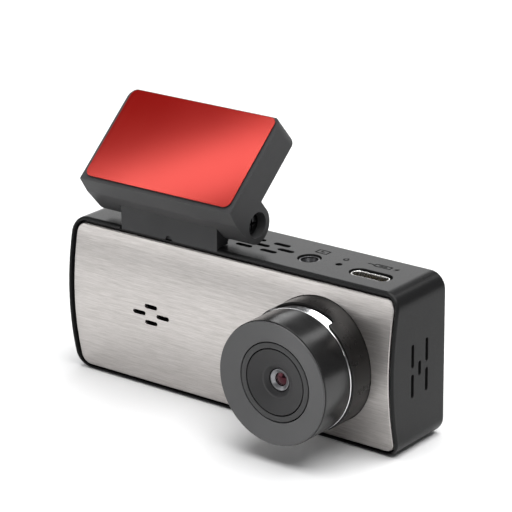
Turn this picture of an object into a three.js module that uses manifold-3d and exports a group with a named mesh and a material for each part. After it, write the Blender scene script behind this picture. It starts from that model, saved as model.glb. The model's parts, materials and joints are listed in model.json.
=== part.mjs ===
// Dash camera with a brushed face plate, a lens snout and a hinged windscreen bracket.
// Millimetres, +Z up, the lens looks along -Y. The origin is the centre of the flat underside.
// Inside the camera group Y is measured back from the front rim of the housing.
import * as THREE from 'three';
import { mergeVertices } from 'three/addons/utils/BufferGeometryUtils.js';
import Module from 'manifold-3d';

const wasm = await Module();
wasm.setup();

// ---------------------------------------------------------------- driving dimensions
const WIDTH = 85;
const DEPTH = 16.4;
const HEIGHT = 35;
const MID = HEIGHT / 2;
const CORNER = 3.6;             // corner radius seen from the front
const WALL = 1.5;
const BULGE = 2.6;              // how far the front swells at mid height
const GAP = 0.2;                // clearance between neighbouring pieces

// The shell's lip around the face pocket, and the plate inside it: widths left around their edges.
const LIP = { side: 0.75, top: 0.8, bottom: 0.4, corner: 2.8 };
const PLATE = { side: 1.25, top: 1.4, bottom: 0.75, corner: 2.2 };
const PLATE_SET_BACK = 0.45;
const PLATE_THICK = 0.8;
const FRONT_WALL = 1.2;
const COVER_THICK = 1.5;
const COVER_RIM = 0.9;          // shell lip around the rear cover

const LENS_X = 23.6;
const LENS_Z = 17.4;
const COLLAR_R = 13.4;
const COLLAR_BORE = 12.4;
const COLLAR_FRONT = -7.9;
const COLLAR_FLANGE = 2.7;      // front face of the inner flange
const COLLAR_SKIRT = 12.95;     // bore of the thin front wall
const NOTCH_HALF = 7.2;
const NOTCH_BACK = -5.45;
const BARREL_R = 12.1;
const BAND_R = 12.75;           // bright band that shows through the notches
const BAND_BACK = -5.35;
const BARREL_BORE = 10.9;
const HEAD_R = 13.05;
const HEAD_FRONT = -17.1;
const HEAD_BACK = -8.5;

const MOUNT_X = -16.2;
const BASE_W = 25.8;
const ARM_W = 40.2;
const HINGE_Y = 4.6;
const HINGE_Z = 40.4;
const KNUCKLE_R = 4.05;
const BARREL_HINGE_R = 4.4;
const ARM_TILT = 41.3;          // slope of the adhesive face, degrees
const ARM_LENGTH = 23.75;       // along the slope
const ARM_THICK = 7.05;
const ARM_FACE = 9.7;           // adhesive face to hinge axis
const ARM_HEEL = 3.5;           // lower edge of the face to the hinge, along the slope

const PAD = { side: 0.9, top: 0.45, bottom: 0.9, corner: 1.6 };   // margins of the adhesive pad

const BOARD_Y = 8;
const BOARD_THICK = 1;
const SCREEN = { x: 6, w: 51, h: 27 };
const GLASS = { x: 4, w: 62, h: 29 };
const BUTTON_X = -32.8;
const BUTTON_PITCH = 6.2;

const USB = { x: 31, y: 6.15, w: 8.94, t: 3.2 };
const JACK = { x: 15.3, y: 7, r: 2.25, bore: 1.4 };
const RESET = { x: 22.3, y: 7.5, r: 0.5 };
const CARD = { z: 20, w: 11, l: 15, t: 0.8, y: 10.05 };
const SPEAKER = { x: -19.6, z: 17.5, across: 3.2, up: 1.8, slotWidth: 0.95 };
const MICROPHONE = { x: -39, z: MID };
const VENT = { length: 4, width: 1.15, pitch: 6.3 };
const SIDE_VENT = { length: 5, width: 0.9, middle: 3.1, rise: 3.2 };
const BUTTON_HEIGHTS = [1.5, 0.5, -0.5, -1.5].map((step) => MID + step * BUTTON_PITCH);

const ROUND = 32;               // facets of the large turned pieces
const SMALL_ROUND = 16;
const SWELL_STEPS = 6;          // facets of the swollen front

// ---------------------------------------------------------------- materials
const material = (color, roughness, metalness = 0) =>
  new THREE.MeshStandardMaterial({ color, roughness, metalness });

const housingPlastic = material(0x3c3c3d, 0.6);
const glossBlack = material(0x151516, 0.15);
const headGrey = material(0x4b4b4c, 0.45);
const hoodBlack = material(0x2a2a2c, 0.5);
const brushedMetal = material(0xc4beb8, 0.35, 1);
const chrome = material(0xdadada, 0.08, 1);
const steel = material(0xa6a8aa, 0.3, 1);
const aluminium = material(0xb9bcc0, 0.4, 1);
const redFilm = material(0xc9231f, 0.25);
const foamBlack = material(0x241a1a, 0.9);
const opticalGlass = material(0x20242c, 0.05);
const screenBlack = material(0x08080a, 0.08);
const circuitGreen = material(0x1b5233, 0.5);
const chipBlack = material(0x1c1c1e, 0.45);
const thermalGrey = material(0x8f9aa6, 0.9);
const ribbonAmber = material(0xb97a2a, 0.5);
const rubber = material(0x202021, 0.85);
const whitePlastic = material(0xd9d9d6, 0.5);

// ---------------------------------------------------------------- solids
function signedVolume(position, index) {
  const [a, b, c] = [new THREE.Vector3(), new THREE.Vector3(), new THREE.Vector3()];
  let volume = 0;
  for (let i = 0; i < index.length; i += 3) {
    a.fromBufferAttribute(position, index[i]);
    b.fromBufferAttribute(position, index[i + 1]);
    c.fromBufferAttribute(position, index[i + 2]);
    volume += a.dot(b.cross(c)) / 6;
  }
  return volume;
}

// Turns a closed geometry into a manifold solid with its faces pointing out.
function solid(geometry) {
  const bare = geometry.index ? geometry.toNonIndexed() : geometry.clone();
  for (const name of Object.keys(bare.attributes)) {
    if (name !== 'position') bare.deleteAttribute(name);
  }
  const merged = mergeVertices(bare, 1e-4);
  const corners = [];
  for (let i = 0; i < merged.index.count; i += 3) {
    const [a, b, c] = [0, 1, 2].map((k) => merged.index.getX(i + k));
    if (a !== b && b !== c && c !== a) corners.push(a, b, c);
  }
  if (signedVolume(merged.attributes.position, corners) < 0) corners.reverse();
  return new wasm.Manifold(new wasm.Mesh({
    numProp: 3,
    vertProperties: new Float32Array(merged.attributes.position.array),
    triVerts: new Uint32Array(corners),
  }));
}

function toGeometry(body) {
  const mesh = body.getMesh();
  const geometry = new THREE.BufferGeometry();
  geometry.setAttribute('position', new THREE.BufferAttribute(mesh.vertProperties, 3));
  geometry.setIndex(new THREE.BufferAttribute(mesh.triVerts, 1));
  geometry.computeVertexNormals();
  return geometry;
}

const join = (...bodies) => bodies.reduce((whole, next) => whole.add(next));
const cut = (body, ...tools) => tools.reduce((rest, tool) => rest.subtract(tool), body);

function box(x0, x1, y0, y1, z0, z1) {
  const geometry = new THREE.BoxGeometry(x1 - x0, y1 - y0, z1 - z0);
  geometry.translate((x0 + x1) / 2, (y0 + y1) / 2, (z0 + z1) / 2);
  return solid(geometry);
}

function extrude(shape, length, curveSegments = 4) {
  return new THREE.ExtrudeGeometry(shape, { depth: length, bevelEnabled: false, curveSegments });
}

// A shape drawn in X and Z, extruded along Y.
function alongY(shape, y0, y1, curveSegments) {
  const geometry = extrude(shape, y1 - y0, curveSegments);
  geometry.rotateX(Math.PI / 2);
  geometry.translate(0, y1, 0);
  return solid(geometry);
}

// A shape drawn in Y and Z, extruded along X.
function alongX(shape, x0, x1, curveSegments) {
  const geometry = extrude(shape, x1 - x0, curveSegments);
  const axes = new THREE.Matrix4().makeBasis(
    new THREE.Vector3(0, 1, 0),
    new THREE.Vector3(0, 0, 1),
    new THREE.Vector3(1, 0, 0),
  );
  geometry.applyMatrix4(axes);
  geometry.translate(x0, 0, 0);
  return solid(geometry);
}

// A shape drawn in X and Y, extruded along Z.
function alongZ(shape, z0, z1, curveSegments) {
  const geometry = extrude(shape, z1 - z0, curveSegments);
  geometry.translate(0, 0, z0);
  return solid(geometry);
}

function rodAlong(axis, radius, from, to, a, b, facets = SMALL_ROUND) {
  const geometry = new THREE.CylinderGeometry(radius, radius, to - from, facets);
  const middle = (from + to) / 2;
  if (axis === 'x') geometry.rotateZ(Math.PI / 2).translate(middle, a, b);
  if (axis === 'y') geometry.translate(a, middle, b);
  if (axis === 'z') geometry.rotateX(Math.PI / 2).translate(a, b, middle);
  return solid(geometry);
}
const rodX = (radius, x0, x1, y, z, facets) => rodAlong('x', radius, x0, x1, y, z, facets);
const rodY = (radius, y0, y1, x, z, facets) => rodAlong('y', radius, y0, y1, x, z, facets);
const rodZ = (radius, z0, z1, x, y, facets) => rodAlong('z', radius, z0, z1, x, y, facets);

// A piece turned about the Y axis from a closed profile of [radius, y] points.
function turned(profile, facets = ROUND) {
  const points = [...profile, profile[0]].map(([r, y]) => new THREE.Vector2(r, y));
  return solid(new THREE.LatheGeometry(points, facets));
}
const tube = (outer, inner, y0, y1, facets) =>
  turned([[inner, y0], [outer, y0], [outer, y1], [inner, y1]], facets);
const disc = (radius, y0, y1, facets) =>
  turned([[0, y0], [radius, y0], [radius, y1], [0, y1]], facets);

// ---------------------------------------------------------------- outlines
function polygon(points) {
  const shape = new THREE.Shape();
  points.forEach(([a, b], i) => (i ? shape.lineTo(a, b) : shape.moveTo(a, b)));
  shape.closePath();
  return shape;
}

function roundedRect(a0, a1, b0, b1, radius) {
  const shape = new THREE.Shape();
  shape.moveTo(a0 + radius, b0);
  shape.lineTo(a1 - radius, b0);
  shape.absarc(a1 - radius, b0 + radius, radius, -Math.PI / 2, 0);
  shape.lineTo(a1, b1 - radius);
  shape.absarc(a1 - radius, b1 - radius, radius, 0, Math.PI / 2);
  shape.lineTo(a0 + radius, b1);
  shape.absarc(a0 + radius, b1 - radius, radius, Math.PI / 2, Math.PI);
  shape.lineTo(a0, b0 + radius);
  shape.absarc(a0 + radius, b0 + radius, radius, Math.PI, 1.5 * Math.PI);
  shape.closePath();
  return shape;
}

const centredRect = (a, b, width, height, radius) =>
  roundedRect(a - width / 2, a + width / 2, b - height / 2, b + height / 2, radius);

// A rectangle with fully rounded ends.
const slot = (a, b, length, width) => centredRect(a, b, length, width, width / 2 - 0.01);

// The housing seen from the front, drawn in by an inset.
const housingOutline = (inset) => roundedRect(
  -WIDTH / 2 + inset,
  WIDTH / 2 - inset,
  inset,
  HEIGHT - inset,
  CORNER - inset * 0.8,
);

const faceOutline = ({ side, top, bottom, corner }) =>
  roundedRect(-WIDTH / 2 + side, WIDTH / 2 - side, bottom, HEIGHT - top, corner);

const FACE_RADIUS = (MID * MID + BULGE * BULGE) / (2 * BULGE);
// Depth of the swollen front at a height, moved back by an offset.
const faceY = (z, offset = 0) =>
  offset + FACE_RADIUS - BULGE - Math.sqrt(FACE_RADIUS ** 2 - (z - MID) ** 2);

// Everything between the swollen front, moved back by an offset, and a flat plane at yBack.
function behindFace(offset, yBack) {
  const points = [[yBack, HEIGHT], [yBack, 0]];
  for (let i = 0; i <= SWELL_STEPS; i++) {
    const z = (HEIGHT * i) / SWELL_STEPS;
    points.push([faceY(z, offset), z]);
  }
  return alongX(polygon(points), -WIDTH, WIDTH);
}

// ---------------------------------------------------------------- housing
const PLATE_BACK = PLATE_SET_BACK + PLATE_THICK;
const FACE_FLOOR = PLATE_BACK + 0.1;
const WALL_BACK = FACE_FLOOR + FRONT_WALL;
const COVER_FRONT = DEPTH - COVER_THICK;
const BOSSES = [[-38.4, 4.3], [-38.4, 30.7], [38.4, 4.3], [38.4, 30.7]];

// The outer skin: rings of the outline, drawn in at the front and back to round the edges.
function outerSkin() {
  const rings = [
    { inset: 3, y: 0, curved: true },
    { inset: 0.6, y: 0, curved: true },
    { inset: 0.18, y: 0.18, curved: true },
    { inset: 0, y: 0.6, curved: true },
    { inset: 0, y: DEPTH - 0.8 },
    { inset: 0.24, y: DEPTH - 0.24 },
    { inset: 0.8, y: DEPTH },
    { inset: 3, y: DEPTH },
  ];
  const positions = [];
  const outlines = rings.map((ring) => {
    const points = denseOutline(ring.inset);
    return points.map(({ x, y: z }) => [x, ring.y + (ring.curved ? faceY(z) : 0), z]);
  });
  const count = outlines[0].length;
  const add = (...corners) => corners.forEach((corner) => positions.push(...corner));
  for (let r = 0; r + 1 < outlines.length; r++) {
    for (let i = 0; i < count; i++) {
      const [a, b] = [outlines[r][i], outlines[r][(i + 1) % count]];
      const [c, d] = [outlines[r + 1][i], outlines[r + 1][(i + 1) % count]];
      add(a, b, c);
      add(b, d, c);
    }
  }
  const front = [0, faceY(MID), MID];
  const back = [0, DEPTH, MID];
  for (let i = 0; i < count; i++) {
    add(front, outlines[0][(i + 1) % count], outlines[0][i]);
    add(back, outlines.at(-1)[i], outlines.at(-1)[(i + 1) % count]);
  }
  const geometry = new THREE.BufferGeometry();
  geometry.setAttribute('position', new THREE.Float32BufferAttribute(positions, 3));
  return solid(geometry);
}

// Points around the housing outline, with extra ones up the two sides so they follow the swell.
function denseOutline(inset) {
  const corner = housingOutline(inset).getPoints(5)
    .filter((point, i, all) => point.distanceTo(all[(i + 1) % all.length]) > 1e-6);
  const points = [];
  corner.forEach((point, i) => {
    points.push(point);
    const next = corner[(i + 1) % corner.length];
    const rise = next.y - point.y;
    if (Math.abs(rise) < 10) return;
    for (let k = 1; k < SWELL_STEPS; k++) {
      const z = (HEIGHT * (rise > 0 ? k : SWELL_STEPS - k)) / SWELL_STEPS;
      if (Math.abs(z - MID) < Math.abs(rise) / 2 - 0.5) points.push(new THREE.Vector2(point.x, z));
    }
  });
  return points;
}

// Rows of cooling slots in the roof, running along X.
function roofVents() {
  const rows = [
    { y: 5.55, first: -6.7, count: 3 },
    { y: 7.8, first: 2.4, count: 2 },
    { y: 10.2, first: -0.3, count: 2 },
  ];
  return rows.flatMap(({ y, first, count }) => [...Array(count).keys()].map((k) => {
    const x = first + k * VENT.pitch;
    return alongZ(slot(x, y, VENT.length, VENT.width), HEIGHT - 3, HEIGHT + 1, 1);
  }));
}

// A pair of upright slots at each end of the side wall with a short one between them.
function sideVents() {
  const half = SIDE_VENT.width / 2;
  const upright = (y, z, length) => alongX(
    roundedRect(y - half, y + half, z - length / 2, z + length / 2, half - 0.01),
    WIDTH / 2 - 3,
    WIDTH / 2 + 1,
    1,
  );
  const corners = [4.5, 9.5].flatMap((y) =>
    [-1, 1].map((end) => upright(y, MID + end * SIDE_VENT.rise, SIDE_VENT.length)));
  return [...corners, upright(7, MID, SIDE_VENT.middle)];
}

function floorVents() {
  return [-24, -18, -12, -6].map((x) => alongZ(slot(x, 8, 4.4, VENT.width), -1, 3, 1));
}

// Four slots set as a diamond in front of the speaker.
function speakerCuts(y0, y1) {
  const { x, z, across, up, slotWidth } = SPEAKER;
  return [[0, up], [-across, 0], [across, 0], [0, -up]].map(([dx, dz]) =>
    alongY(slot(x + dx, z + dz, 3.4, slotWidth), y0, y1, 2));
}

function portCuts() {
  return [
    alongZ(slot(USB.x, USB.y, USB.w + 0.7, USB.t + 0.7), HEIGHT - 3, HEIGHT + 1),
    rodZ(JACK.r + 0.25, HEIGHT - 3, HEIGHT + 1, JACK.x, JACK.y),
    rodZ(RESET.r + 0.2, HEIGHT - 3, HEIGHT + 1, RESET.x, RESET.y),
    box(-WIDTH / 2 - 1, -WIDTH / 2 + 3, CARD.y - 0.75, CARD.y + 0.75, CARD.z - 6, CARD.z + 6),
    rodZ(2.4, CARD.z - 3.5, CARD.z + 3.5, -WIDTH / 2 - 1.6, CARD.y, 20),
  ];
}

const LIP_BOTTOM = HEIGHT - 0.95;   // the bracket's foot laps over the front rim down to here
const TONGUE = { x0: MOUNT_X - 9.5, x1: MOUNT_X + 9.5, y0: 2.35, y1: 3.65, z: 29 };

function frontShell() {
  const facePocket = alongY(faceOutline(LIP), -9, 9).subtract(behindFace(FACE_FLOOR, 20));
  const cavity = alongY(housingOutline(WALL), -5, DEPTH + 1)
    .intersect(behindFace(WALL_BACK, DEPTH + 2));
  const coverSeat = alongY(housingOutline(COVER_RIM), COVER_FRONT - 0.1, DEPTH + 1);
  const bosses = BOSSES.map(([x, z]) =>
    rodY(2.2, faceY(z, WALL_BACK) - 0.5, COVER_FRONT - 0.3, x, z, 14));
  const bores = BOSSES.map(([x, z]) => rodY(0.85, 6, COVER_FRONT + 1, x, z, 8));
  const seatRing = tube(COLLAR_R + 2.1, COLLAR_R + 0.05, -2, COLLAR_FLANGE - 0.1)
    .translate(LENS_X, 0, LENS_Z)
    .intersect(behindFace(FACE_FLOOR + 0.4, 20));
  const { x0, x1, y0, y1 } = TONGUE;
  const tongueSlot = box(x0 - GAP, x1 + GAP, y0 - GAP, y1 + GAP, TONGUE.z - 0.5, HEIGHT + 1);
  const footHalf = BASE_W / 2 + GAP;
  const lipNotch = box(MOUNT_X - footHalf, MOUNT_X + footHalf, -2, 1.3 + GAP, LIP_BOTTOM, HEIGHT + 1);
  const hollow = cut(cavity, ...bosses, seatRing);
  return cut(
    outerSkin(),
    facePocket,
    hollow,
    coverSeat,
    rodY(COLLAR_R + 0.15, -9, 9, LENS_X, LENS_Z, ROUND),
    tongueSlot,
    lipNotch,
    ...bores,
    ...roofVents(),
    ...sideVents(),
    ...floorVents(),
    ...speakerCuts(-5, 5),
    ...portCuts(),
  );
}

function facePlate() {
  const sheet = alongY(faceOutline(PLATE), -9, 9)
    .intersect(behindFace(PLATE_SET_BACK, 20))
    .subtract(behindFace(PLATE_BACK, 30));
  const hole = rodY(COLLAR_R + 0.1, -9, 9, LENS_X, LENS_Z, ROUND);
  return cut(sheet, hole, ...speakerCuts(-5, 5));
}

function rearCover() {
  const panel = alongY(housingOutline(COVER_RIM + 0.12), COVER_FRONT, DEPTH);
  const seatOutline = centredRect(GLASS.x, MID, GLASS.w + 0.3, GLASS.h + 0.3, 1.4);
  const glassSeat = alongY(seatOutline, DEPTH - 0.95, DEPTH + 1);
  const window = alongY(centredRect(SCREEN.x, MID, SCREEN.w, SCREEN.h, 0.6), 0, DEPTH + 1);
  const holes = BOSSES.map(([x, z]) => join(
    rodY(0.95, 0, DEPTH + 1, x, z, 10),
    rodY(1.75, DEPTH - 0.8, DEPTH + 1, x, z, 14),
  ));
  const buttonHoles = BUTTON_HEIGHTS.map((z) =>
    alongY(centredRect(BUTTON_X, z, 5.6, 4.2, 1.2), 0, DEPTH + 1, 3));
  const microphoneHole = rodY(0.5, 0, DEPTH + 1, MICROPHONE.x, MICROPHONE.z, 12);
  return cut(panel, glassSeat, window, microphoneHole, ...holes, ...buttonHoles);
}

function housingScrew(x, z) {
  const shank = rodY(0.7, 7, DEPTH - 0.7, x, z, 8);
  const head = rodY(1.55, DEPTH - 0.7, DEPTH - 0.1, x, z, 14);
  const cross = join(
    box(x - 0.9, x + 0.9, DEPTH - 0.45, DEPTH + 1, z - 0.17, z + 0.17),
    box(x - 0.17, x + 0.17, DEPTH - 0.45, DEPTH + 1, z - 0.9, z + 0.9),
  );
  return cut(join(shank, head), cross);
}

// ---------------------------------------------------------------- lens, about its own axis
function lensCollar() {
  const body = join(
    tube(COLLAR_R, COLLAR_BORE, COLLAR_FRONT, COLLAR_FLANGE + 0.4),
    tube(15.2, COLLAR_BORE, COLLAR_FLANGE, COLLAR_FLANGE + 0.8),
  );
  const notch = roundedRect(-NOTCH_HALF, NOTCH_HALF, COLLAR_FRONT - 3, NOTCH_BACK, 1.2);
  const skirtBore = tube(COLLAR_SKIRT, COLLAR_BORE - 0.5, COLLAR_FRONT - 1, NOTCH_BACK + 0.25);
  return cut(body, skirtBore, alongZ(notch, 5, 20, 5), alongZ(notch, -20, -5, 5));
}

function lensBarrel() {
  const rearLip = 3.6;
  const body = join(
    tube(BARREL_R, BARREL_BORE, HEAD_BACK + 0.4, rearLip + 0.6),
    tube(BAND_R, BARREL_BORE, HEAD_BACK + 0.4, BAND_BACK),
    tube(13.1, BARREL_BORE, rearLip, rearLip + 0.6),
  );
  const stopLug = box(-1.5, 1.5, -7.4, -5.6, -13.1, -BARREL_R + 0.4);
  return join(body, stopLug);
}

function headShell() {
  return turned([
    [HEAD_R, HEAD_BACK - 0.2],
    [HEAD_R, HEAD_FRONT + 0.65],
    [HEAD_R - 0.15, HEAD_FRONT + 0.5],
    [11.9, HEAD_FRONT + 0.5],
    [11.9, HEAD_BACK - 1.4],
    [7.6, HEAD_BACK - 1.4],
    [7.6, HEAD_BACK - 0.2],
  ]);
}

// The front face is slightly dished: it falls back from its rim to the groove around the inner ring.
function frontRing() {
  return turned([
    [HEAD_R - 0.35, HEAD_FRONT],
    [HEAD_R - 0.2, HEAD_FRONT + 0.1],
    [HEAD_R - 0.2, HEAD_FRONT + 0.4],
    [11.7, HEAD_FRONT + 0.4],
    [11.7, HEAD_FRONT + 2],
    [8.45, HEAD_FRONT + 2],
    [8.45, HEAD_FRONT + 1.15],
    [8.6, HEAD_FRONT + 1.05],
  ]);
}

function innerRing() {
  return turned([
    [8.2, HEAD_FRONT + 1.05],
    [8.25, HEAD_FRONT + 1.2],
    [8.25, HEAD_FRONT + 2.4],
    [7.1, HEAD_FRONT + 2.4],
    [7.1, HEAD_FRONT + 1.25],
    [7.2, HEAD_FRONT + 1.1],
  ]);
}

function lensHood() {
  return turned([
    [6.9, HEAD_FRONT + 1.25],
    [6.9, HEAD_FRONT + 4.2],
    [2.45, HEAD_FRONT + 4.2],
    [2.45, HEAD_FRONT + 2.6],
    [3.3, HEAD_FRONT + 1.95],
    [3.5, HEAD_FRONT + 1.85],
    [6.7, HEAD_FRONT + 1.12],
  ]);
}

function domedLens(radius, front, sag, thick, facets = SMALL_ROUND) {
  const steps = 5;
  const dome = [];
  for (let i = 0; i <= steps; i++) {
    const r = (radius * i) / steps;
    dome.push([r, front + sag * (r / radius) ** 2]);
  }
  return turned([...dome, [radius, front + thick], [0, front + thick]], facets);
}

function lensHolder() {
  return turned([
    [2.45, -12.6],
    [6.4, -12.6],
    [6.4, -9.9],
    [5.6, -9.7],
    [5.6, -1.5],
    [4.2, -1.5],
    [4.2, -11],
    [2.45, -11.6],
  ], 32);
}

// ---------------------------------------------------------------- bracket
function mountBase() {
  const x0 = MOUNT_X - BASE_W / 2;
  const x1 = MOUNT_X + BASE_W / 2;
  const foot = alongX(polygon([
    [0.2, LIP_BOTTOM + GAP],
    [1.3, LIP_BOTTOM + GAP],
    [1.3, HEIGHT + 0.12],
    [3.8, HEIGHT + 0.12],
    [3.8, HINGE_Z - 2.4],
    [HINGE_Y, HINGE_Z],
    [0.2, HINGE_Z],
  ]), x0, x1);
  const barrel = rodX(BARREL_HINGE_R, x0, x1, HINGE_Y, HINGE_Z, 32);
  const tongue = box(TONGUE.x0, TONGUE.x1, TONGUE.y0, TONGUE.y1, TONGUE.z, HEIGHT + 0.5);
  const hookTip = TONGUE.y1 + 0.75;
  const hookShape = polygon([
    [3, 31],
    [TONGUE.y1, 31],
    [hookTip, 32.2],
    [hookTip, 33.3],
    [3, 33.3],
  ]);
  const hooks = [-6, 6].map((x) => alongX(hookShape, MOUNT_X + x - 2, MOUNT_X + x + 2));
  const washerSeat = 0.6;
  const bores = [
    rodX(1.6, x0 - 1, x0 + 8.5, HINGE_Y, HINGE_Z, 20),
    rodX(1.6, x1 - 8.5, x1 + 1, HINGE_Y, HINGE_Z, 20),
    rodX(3.5, x0 - 1, x0 + washerSeat, HINGE_Y, HINGE_Z),
    rodX(3.5, x1 - washerSeat, x1 + 1, HINGE_Y, HINGE_Z),
  ];
  const pryNotch = rodY(0.9, -1, 1, MOUNT_X, 34.35);
  return cut(join(foot, barrel, tongue, ...hooks), pryNotch, ...bores);
}

// The arm is drawn lying flat about the hinge axis, then turned up by its slope.
// Here Y runs up the adhesive face and Z stands out of it.
const ARM_FOOT = -ARM_HEEL;
const ARM_TOP = ARM_LENGTH - ARM_HEEL;
const ARM_BACK = ARM_FACE - ARM_THICK;

function armOutline() {
  const topRadius = 1.7;
  const topCentre = ARM_TOP - topRadius;
  const shape = new THREE.Shape();
  shape.moveTo(ARM_FOOT, ARM_FACE);
  shape.lineTo(-KNUCKLE_R - 0.1, ARM_FACE - 4);
  shape.lineTo(-KNUCKLE_R, 0);
  shape.absarc(0, 0, KNUCKLE_R, Math.PI, 2 * Math.PI, false);
  shape.lineTo(KNUCKLE_R + 0.1, ARM_BACK);
  shape.lineTo(topCentre, ARM_BACK);
  shape.absarc(topCentre, ARM_BACK + topRadius, topRadius, -Math.PI / 2, 0, false);
  shape.lineTo(ARM_TOP, ARM_FACE - 0.4);
  shape.lineTo(ARM_TOP - 0.4, ARM_FACE);
  shape.closePath();
  return shape;
}

const HEAD_RECESS_R = 2.75;
const HEAD_RECESS = 3;

function mountArm() {
  const half = ARM_W / 2;
  const clevis = BASE_W / 2 + 0.3;
  const faceCorner = 2.4;
  const plan = new THREE.Shape();
  plan.moveTo(-half, -8);
  plan.lineTo(half, -8);
  plan.lineTo(half, ARM_TOP - faceCorner);
  plan.absarc(half - faceCorner, ARM_TOP - faceCorner, faceCorner, 0, Math.PI / 2);
  plan.lineTo(-half + faceCorner, ARM_TOP);
  plan.absarc(-half + faceCorner, ARM_TOP - faceCorner, faceCorner, Math.PI / 2, Math.PI);
  plan.closePath();
  const body = alongX(armOutline(), -half, half, 10).intersect(alongZ(plan, -6, 12, 5));
  const barrelSpace = rodX(BARREL_HINGE_R + 0.3, -clevis, clevis, 0, 0, 32);
  const footSpace = box(-clevis, clevis, -6, 6, -6, -0.5);
  const recesses = [
    rodX(HEAD_RECESS_R, half - HEAD_RECESS, half + 1, 0, 0),
    rodX(HEAD_RECESS_R, -half - 1, -half + HEAD_RECESS, 0, 0),
    rodX(1.6, -half, half, 0, 0, 20),
  ];
  return cut(body, barrelSpace, footSpace, ...recesses);
}

function hingeScrew(side) {
  const seat = ARM_W / 2 - HEAD_RECESS + 0.1;
  const head = rodX(2.4, seat, seat + 1.3, 0, 0);
  const shank = rodX(1.25, seat - 11, seat + 0.2, 0, 0);
  const cross = join(
    box(seat + 0.6, seat + 3, -1.5, 1.5, -0.3, 0.3),
    box(seat + 0.6, seat + 3, -0.3, 0.3, -1.5, 1.5),
  );
  const screw = cut(join(head, shank), cross);
  return side > 0 ? screw : screw.mirror([1, 0, 0]);
}

function frictionWasher(side) {
  const inner = BASE_W / 2 - 0.5;
  const hole = rodX(1.45, inner - 1, inner + 2, 0, 0, 20);
  const ring = rodX(3.3, inner, inner + 0.45, 0, 0).subtract(hole);
  return side > 0 ? ring : ring.mirror([1, 0, 0]);
}

// One layer of the adhesive pad, between two heights above the arm's face.
function adhesiveLayer(low, high) {
  const half = ARM_W / 2 - PAD.side;
  const outline = roundedRect(-half, half, ARM_FOOT + PAD.bottom, ARM_TOP - PAD.top, PAD.corner);
  return alongZ(outline, ARM_FACE + low, ARM_FACE + high, 6);
}

// ---------------------------------------------------------------- electronics
function mainBoard() {
  const outline = polygon([
    [-40.3, 8], [-35.6, 8],
    [-35.6, 3.2], [35.6, 3.2],
    [35.6, 8], [39.6, 8],
    [39.6, 27], [35.6, 27],
    [35.6, 31], [18.6, 31],
    [18.6, 24], [12, 24],
    [12, 31.6], [-35.6, 31.6],
    [-35.6, 27.4], [-40.3, 27.4],
  ]);
  return alongY(outline, BOARD_Y, BOARD_Y + BOARD_THICK);
}

function heatSink() {
  const base = box(-12, 8, 4.2, 5.2, 6, 27);
  const fins = [];
  for (let x = -12; x < 8; x += 3.2) fins.push(box(x, x + 0.9, 2.6, 4.4, 6, 27));
  return join(base, ...fins);
}

function usbShell() {
  const { x, y, w, t } = USB;
  const top = HEIGHT - 0.25;
  const outer = alongZ(slot(x, y, w, t), 26.4, top);
  return outer.subtract(alongZ(slot(x, y, w - 0.6, t - 0.6), 27.3, top + 1));
}

function jackBody() {
  const { x, y, bore } = JACK;
  const block = box(x - 2.7, x + 2.7, y - 2.5, y + 2.5, 24.6, 33.2);
  return block.subtract(rodZ(bore + 0.05, 25.6, 34, x, y, 20));
}

function jackCollar() {
  const { x, y, r, bore } = JACK;
  return rodZ(r, 33.3, HEIGHT - 0.3, x, y).subtract(rodZ(bore, 30, HEIGHT + 1, x, y));
}

function resetPlunger() {
  const { x, y, r } = RESET;
  return join(rodZ(r, 31.3, HEIGHT - 0.6, x, y), rodZ(1, 32.2, 33.3, x, y));
}

function cardShape() {
  const { z, w, l } = CARD;
  const x0 = -WIDTH / 2 - 0.4;
  const lower = z - w / 2;
  const upper = z + w / 2;
  return alongY(polygon([
    [x0, lower],
    [x0 + l, lower],
    [x0 + l, upper - 1.3],
    [x0 + 8, upper - 1.3],
    [x0 + 7, upper - 0.3],
    [x0 + 6, upper - 0.3],
    [x0 + 5.4, upper],
    [x0, upper],
  ]), CARD.y - CARD.t / 2, CARD.y + CARD.t / 2);
}

function cardSocket() {
  const { y, z } = CARD;
  const shell = box(-40.6, -26.6, y - 0.95, y + 0.95, z - 6.3, z + 6.3);
  return shell.subtract(box(-42, -27, y - 0.62, y + 0.62, z - 5.75, z + 5.75));
}

function speakerFrame() {
  const { x, z } = SPEAKER;
  const frame = alongY(centredRect(x, z, 15, 11, 2), 0.75, 4.4);
  return frame.subtract(alongY(centredRect(x, z, 13, 9, 1.5), 0, 1.9));
}

function speakerCone() {
  const cone = domedLens(1, 0.95, 0.75, 0.85, 28);
  return cone.scale([6.2, 1, 4.2]).translate(SPEAKER.x, 0, SPEAKER.z);
}

// A flat flexible cable: a centre line in Y and Z, given a thickness, with a width along X.
function ribbon(points, x0, x1, thick = 0.3) {
  const curve = new THREE.SplineCurve(points.map(([y, z]) => new THREE.Vector2(y, z)));
  const steps = 16;
  const upper = [];
  const lower = [];
  for (let i = 0; i <= steps; i++) {
    const p = curve.getPoint(i / steps);
    const t = curve.getTangent(i / steps);
    upper.push([p.x - (t.y * thick) / 2, p.y + (t.x * thick) / 2]);
    lower.unshift([p.x + (t.y * thick) / 2, p.y - (t.x * thick) / 2]);
  }
  return alongX(polygon([...upper, ...lower]), x0, x1);
}

function buttonCap(z) {
  const cap = alongY(centredRect(BUTTON_X, z, 5.2, 3.8, 1.1), COVER_FRONT - 0.2, DEPTH + 0.25, 3);
  const flange = alongY(centredRect(BUTTON_X, z, 6.4, 5, 1.2), COVER_FRONT - 0.9, COVER_FRONT - 0.1, 2);
  const stem = rodY(0.9, COVER_FRONT - 1.2, COVER_FRONT - 0.7, BUTTON_X, z, 8);
  return join(cap, flange, stem);
}

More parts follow.
